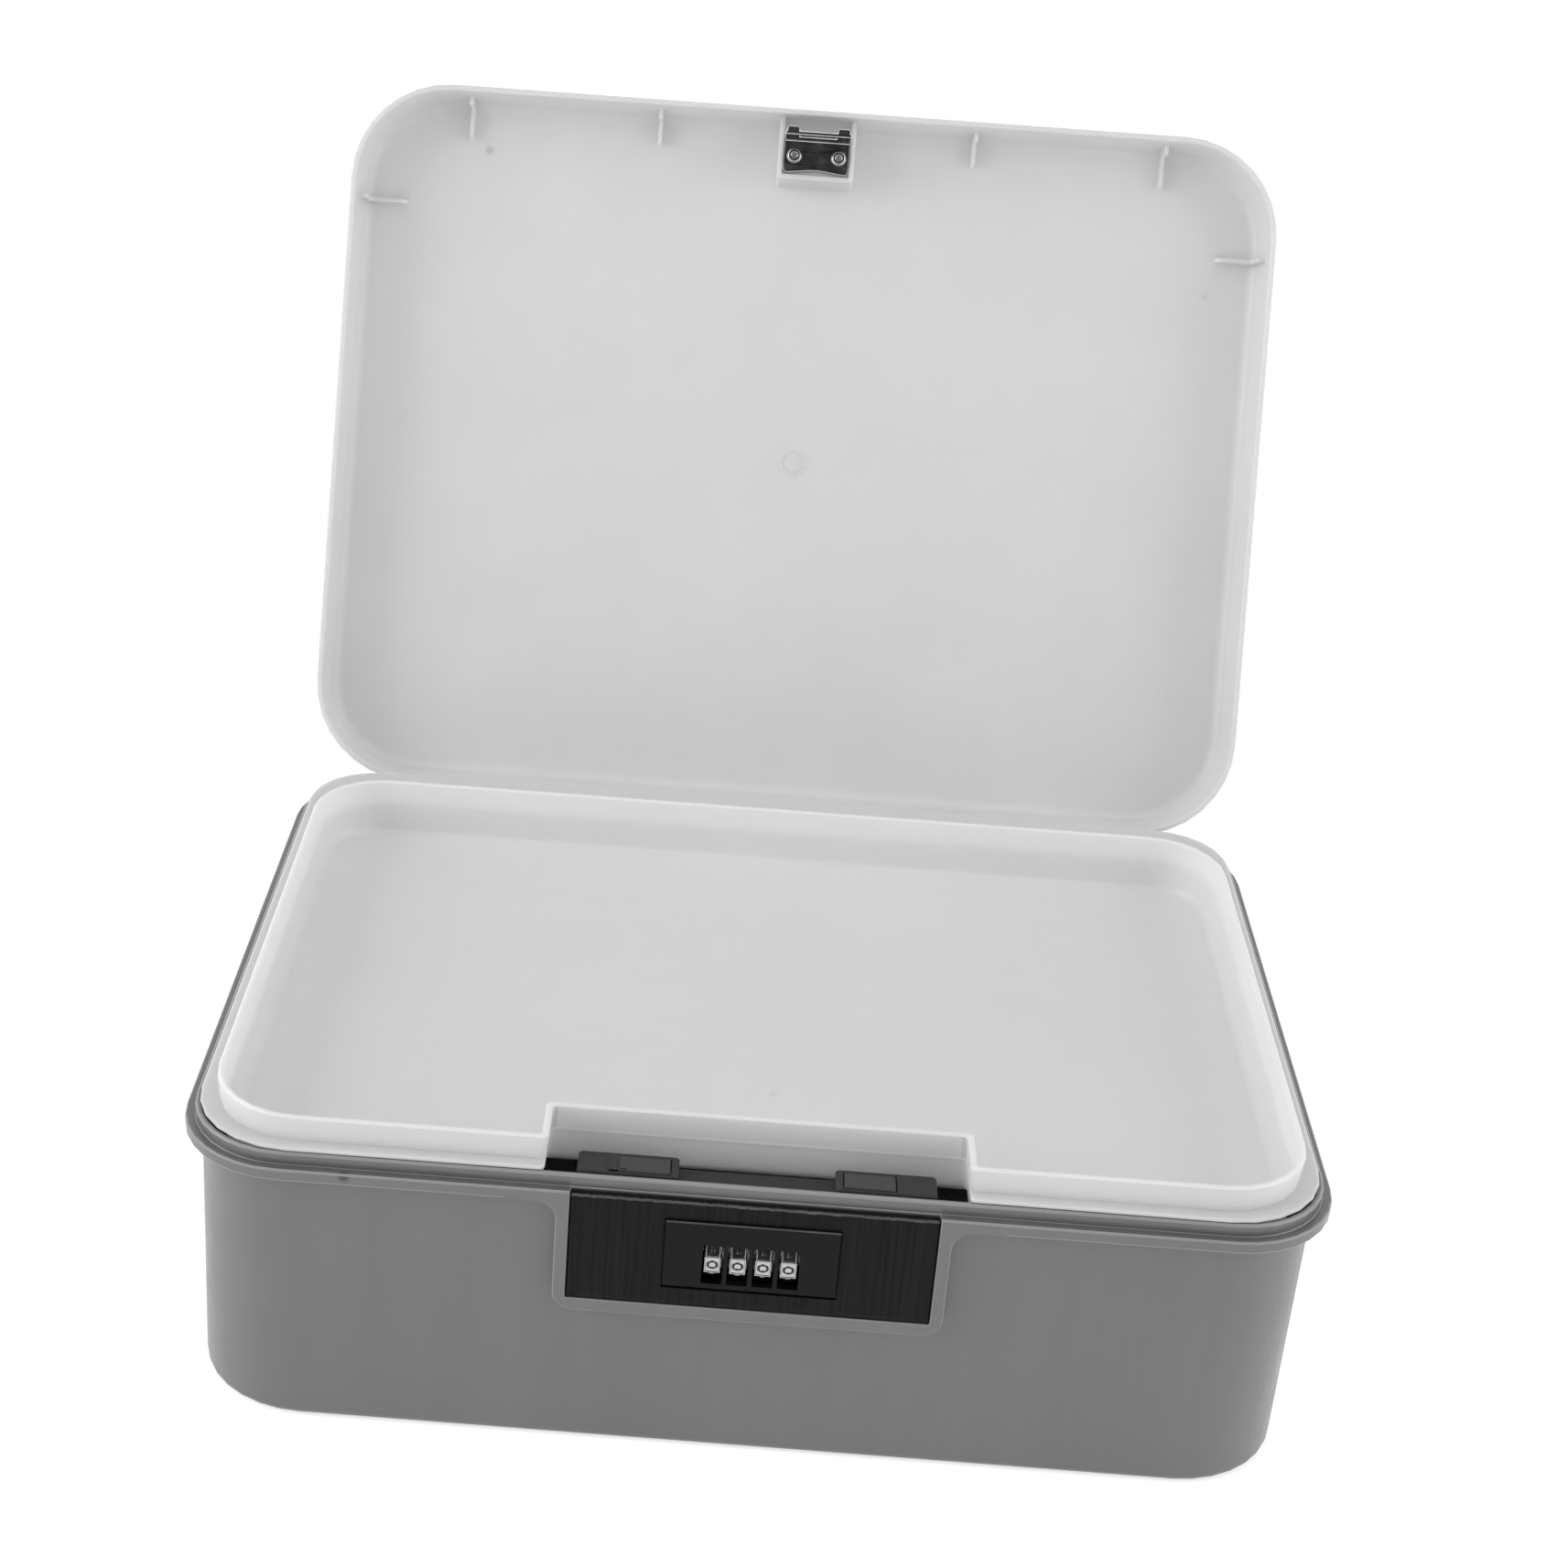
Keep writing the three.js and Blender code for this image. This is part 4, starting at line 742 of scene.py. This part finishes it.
def add_stroke(points, faces, marks, line, place):
    """A low raised stroke with sloping sides. Marks say which faces are its flat top."""
    rows, closed = stroke_rows(line)
    first = len(points)
    half = STROKE / 2
    foot = half + (SINGLE_BAR_SLOPE if len(line) < 3 else DIGIT_SLOPE)
    section = ((-foot, -DIGIT_SINK), (-half, DIGIT_PROUD), (half, DIGIT_PROUD), (foot, -DIGIT_SINK))
    for spot, across in rows:
        for shift, rise in section:
            flat = spot + across * shift
            points.append(place(flat.x, flat.y, rise))
    width = len(section)
    total = len(rows)
    for i in range(total if closed else total - 1):
        a, b = first + i * width, first + (i + 1) % total * width
        for j in range(width):
            k = (j + 1) % width
            faces.append((a + j, b + j, b + k, a + k))
            marks.append(j == 1)
    if not closed:
        last = first + (total - 1) * width
        faces.append(tuple(first + j for j in range(width)))
        faces.append(tuple(last + width - 1 - j for j in range(width)))
        marks.extend((False, False))


def add_digits(index, chrome, ink_and_shade):
    """The raised digits of one number wheel, one on each facet."""
    low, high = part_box(f"number_wheel_{index + 1}")
    middle = (low + high) / 2
    reach = WHEEL_RADIUS * math.cos(math.pi / WHEEL_FACETS) - FRAME_DEPTH
    points, faces, marks = [], [], []
    for digit, lines in enumerate(digit_strokes()):
        angle = 2 * math.pi * digit / WHEEL_FACETS + WHEEL_TILT
        out = Vector((0, -math.cos(angle), math.sin(angle)))
        up = Vector((0, math.sin(angle), math.cos(angle)))

        def place(x, y, rise):
            return middle + (Vector((x, 0, 0)) + out * (reach + rise) + up * y) * MM

        for line in lines:
            add_stroke(points, faces, marks, line, place)
    mesh = bpy.data.meshes.new(f"wheel_{index + 1}_digits")
    mesh.from_pydata(points, [], faces)
    mesh.materials.append(chrome)
    mesh.materials.append(ink_and_shade)
    for face, top in zip(mesh.polygons, marks):
        face.material_index = int(top)
    work = bmesh.new()
    work.from_mesh(mesh)
    bmesh.ops.recalc_face_normals(work, faces=work.faces)
    work.to_mesh(mesh)
    work.free()
    piece = add_object(mesh.name, mesh)
    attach(piece, f"wheel_{index + 1}")


# Slider cover, springs, and all pieces together


def add_slider_cover(material):
    """A thin ribbed tongue on the slider, over the part of its slot that it slides into."""
    low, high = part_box("code_set_slider")
    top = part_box("lock_case")[1].z
    width, overlap, margin = 3.4 * MM, 0.5 * MM, 0.3 * MM
    steps, rib_depth = 6, 0.05 * MM
    foot, head = top + 0.03 * MM, top + 0.22 * MM
    left, right = low.x - width + overlap, low.x + overlap
    front, rear = low.y + margin, high.y - margin
    work = bmesh.new()
    rows = []
    for i in range(steps + 1):
        x = left + (right - left) * i / steps
        rise = head - rib_depth * (i % 2)
        section = ((front, foot), (front, rise), (rear, rise), (rear, foot))
        rows.append([work.verts.new((x, y, z)) for y, z in section])
    for first, second in zip(rows, rows[1:]):
        for j in range(len(first)):
            k = (j + 1) % len(first)
            work.faces.new((first[j], second[j], second[k], first[k]))
    work.faces.new(rows[0])
    work.faces.new(rows[-1][::-1])
    bmesh.ops.recalc_face_normals(work, faces=work.faces)
    mesh = bpy.data.meshes.new("slider_cover")
    work.to_mesh(mesh)
    work.free()
    piece = finished(mesh, "slider_cover", [material], rounding=0.05)
    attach(piece, "code_slider")


def add_button_spring(side, material):
    """A button spring's coil, shown from its CAD node with a mesh of its own."""
    node = f"button_spring_{side}"
    piece = dress(
        node, f"spring_coil_{side}", [material], rounding=0, body="body", angle=80,
    )
    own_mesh(piece)


def add_pieces(m):
    """Dresses the CAD nodes that show, and gives the others a better material."""
    # The box's rounded edges and narrow edge facets take the paler grey as a painted highlight
    dress(
        "body_shell", "box_moulding", (m["body"], m["body_edge_highlight"]), rounding=0.25,
        body="body", shape=shape_body, edge_highlight=True,
    )
    dress(
        "inner_tray", "tray_moulding", (m["tray"], m["tray_wall_shade"]), rounding=0.3,
        body="tray", shape=shape_tray,
    )
    dress(
        "lid_shell", "lid_moulding", [m["lid"]], rounding=0.15,
        body="lid", shape=shape_lid,
    )
    dress(
        "lock_face_plate", "face_plate", (m["plate"], m["edge_highlight"]), rounding=0.12,
        body="body", angle=60, shape=shape_plate,
    )
    dress(
        "release_button", "button_moulding", (m["button"], m["edge_highlight"]), rounding=0.15,
        body="button", shape=shape_button,
    )
    dress("lock_case", "lock_housing", [m["case"]], rounding=0.25, body="body")
    add_slider_cover(m["case"])
    dress(
        "code_set_slider", "slider_inset", [m["inset"]], rounding=0.15,
        body="code_slider",
    )
    dress("tower_cap", "cap_inset", [m["inset"]], rounding=0.15, body="body")
    # Bright steel on the rounded edges of the strike and its screws: a painted highlight
    dress(
        "strike_plate", "strike", (m["dark"], m["bright"]), rounding=0.24,
        body="lid", edge_highlight=True,
    )
    for side in ("left", "right"):
        dress(
            f"strike_screw_{side}", f"strike_screw_{side}_head", (m["screw"], m["bright"]), rounding=0.12,
            body="lid", shape=shape_screw, edge_highlight=True,
        )
    for index in range(WHEELS):
        wheel = f"wheel_{index + 1}"
        dress(
            f"number_{wheel}", f"{wheel}_ring", (m["wheel"], m["ink_and_shade"]), rounding=0.08,
            body=wheel, angle=20, shape=shape_wheel,
        )
        add_digits(index, m["wheel"], m["ink_and_shade"])
        keep(f"wheel_hub_{index + 1}", m["hub"])
    for index in range(CASE_SCREWS):
        keep(f"case_screw_{index + 1}", m["screw"])
    for side in ("left", "right"):
        add_button_spring(side, m["spring"])
        keep(f"hinge_pin_{side}", m["screw"])
    keep("wheel_shaft", m["hub"])
    keep("fence_bar", m["hub"])
    keep("detent_spring", m["spring"])
    keep("latch_bolt", m["bright"])
    keep("lock_case_cover", m["case"])


# Studio


def add_card(name, corners, material):
    """A flat card with four corners that isn't part of the object."""
    mesh = bpy.data.meshes.new(name)
    mesh.from_pydata(corners, [], [(0, 1, 2, 3)])
    mesh.materials.append(material)
    card = add_object(name, mesh)
    return card


def add_floor():
    """A pale floor that shows white and keeps the object's shadow."""
    g = Graph("studio_floor")
    colour = g.blend(g.fit(g.noise(scale=2.5, detail=3), 0, 1), grey(0.87), grey(0.89))
    matt = g.put("BsdfDiffuse", {"Color": colour})
    strength = g.fit(g.seen_directly(), FLOOR_GLOW, FLOOR_SHOWN, start=0, end=1)
    glow = g.put("Emission", {"Color": grey(1.0), "Strength": strength})
    g.show(g.put("AddShader", {0: matt.outputs[0], 1: glow.outputs[0]}))
    corners = [(x * FLOOR_HALF, y * FLOOR_HALF, 0) for x, y in ((-1, -1), (1, -1), (1, 1), (-1, 1))]
    floor = add_card("floor", corners, g.material)
    floor.location.z = -FLOOR_DROP


def add_world():
    """A white surrounding that lights the object less than it shows."""
    world = bpy.data.worlds.new("studio")
    bpy.context.scene.world = world
    g = Nodes(world, "OutputWorld")
    strength = g.fit(g.seen_directly(), WORLD_LEVEL, 1.0, start=0, end=1)
    g.show(g.put("Background", {"Color": grey(1), "Strength": strength}))


def add_flag():
    """A black card behind the camera, for the dark reflections in the bright metal."""
    g = Graph("flag_black")
    colour = g.blend(g.fit(g.noise(scale=3, detail=2), 0, 1), grey(0.02), grey(0.03))
    g.shader(Base_Color=colour, Roughness=0.9, Specular_IOR_Level=0.0)
    low, high = (math.radians(angle) for angle in FLAG_ANGLES)
    half = math.tan(math.radians(FLAG_HALF_ANGLE))
    corners = []
    for turn, side in ((low, -1), (low, 1), (high, 1), (high, -1)):
        out, rise = FLAG_REACH * math.cos(turn), FLAG_REACH * math.sin(turn)
        corners.append((side * half * out, -out, rise + FLAG_LIFT))
    flag = add_card("flag", corners, g.material)
    flag.visible_camera = False
    flag.visible_diffuse = False
    flag.visible_shadow = False


def add_lamp(name, place, size, power):
    """A soft rectangular lamp that points at the object."""
    data = bpy.data.lights.new(name, "AREA")
    data.shape = "RECTANGLE"
    data.size, data.size_y = size
    data.energy = power
    lamp = add_object(name, data)
    lamp.location = place
    lamp.rotation_euler = (Vector(LAMP_AIM) - Vector(place)).to_track_quat("-Z", "Y").to_euler()


def add_studio():
    add_floor()
    add_world()
    add_flag()
    add_lamp("key", place=(-1.7, -0.5, 0.8), size=(1.2, 1.2), power=15)
    add_lamp("fill", place=(1.7, -0.5, 0.7), size=(1.2, 1.2), power=10.5)
    add_lamp("top", place=(0, 0, 1.8), size=(1.6, 1.2), power=4)


add_camera()
add_studio()
add_pieces(make_materials())
bpy.context.scene.view_settings.view_transform = "Standard"
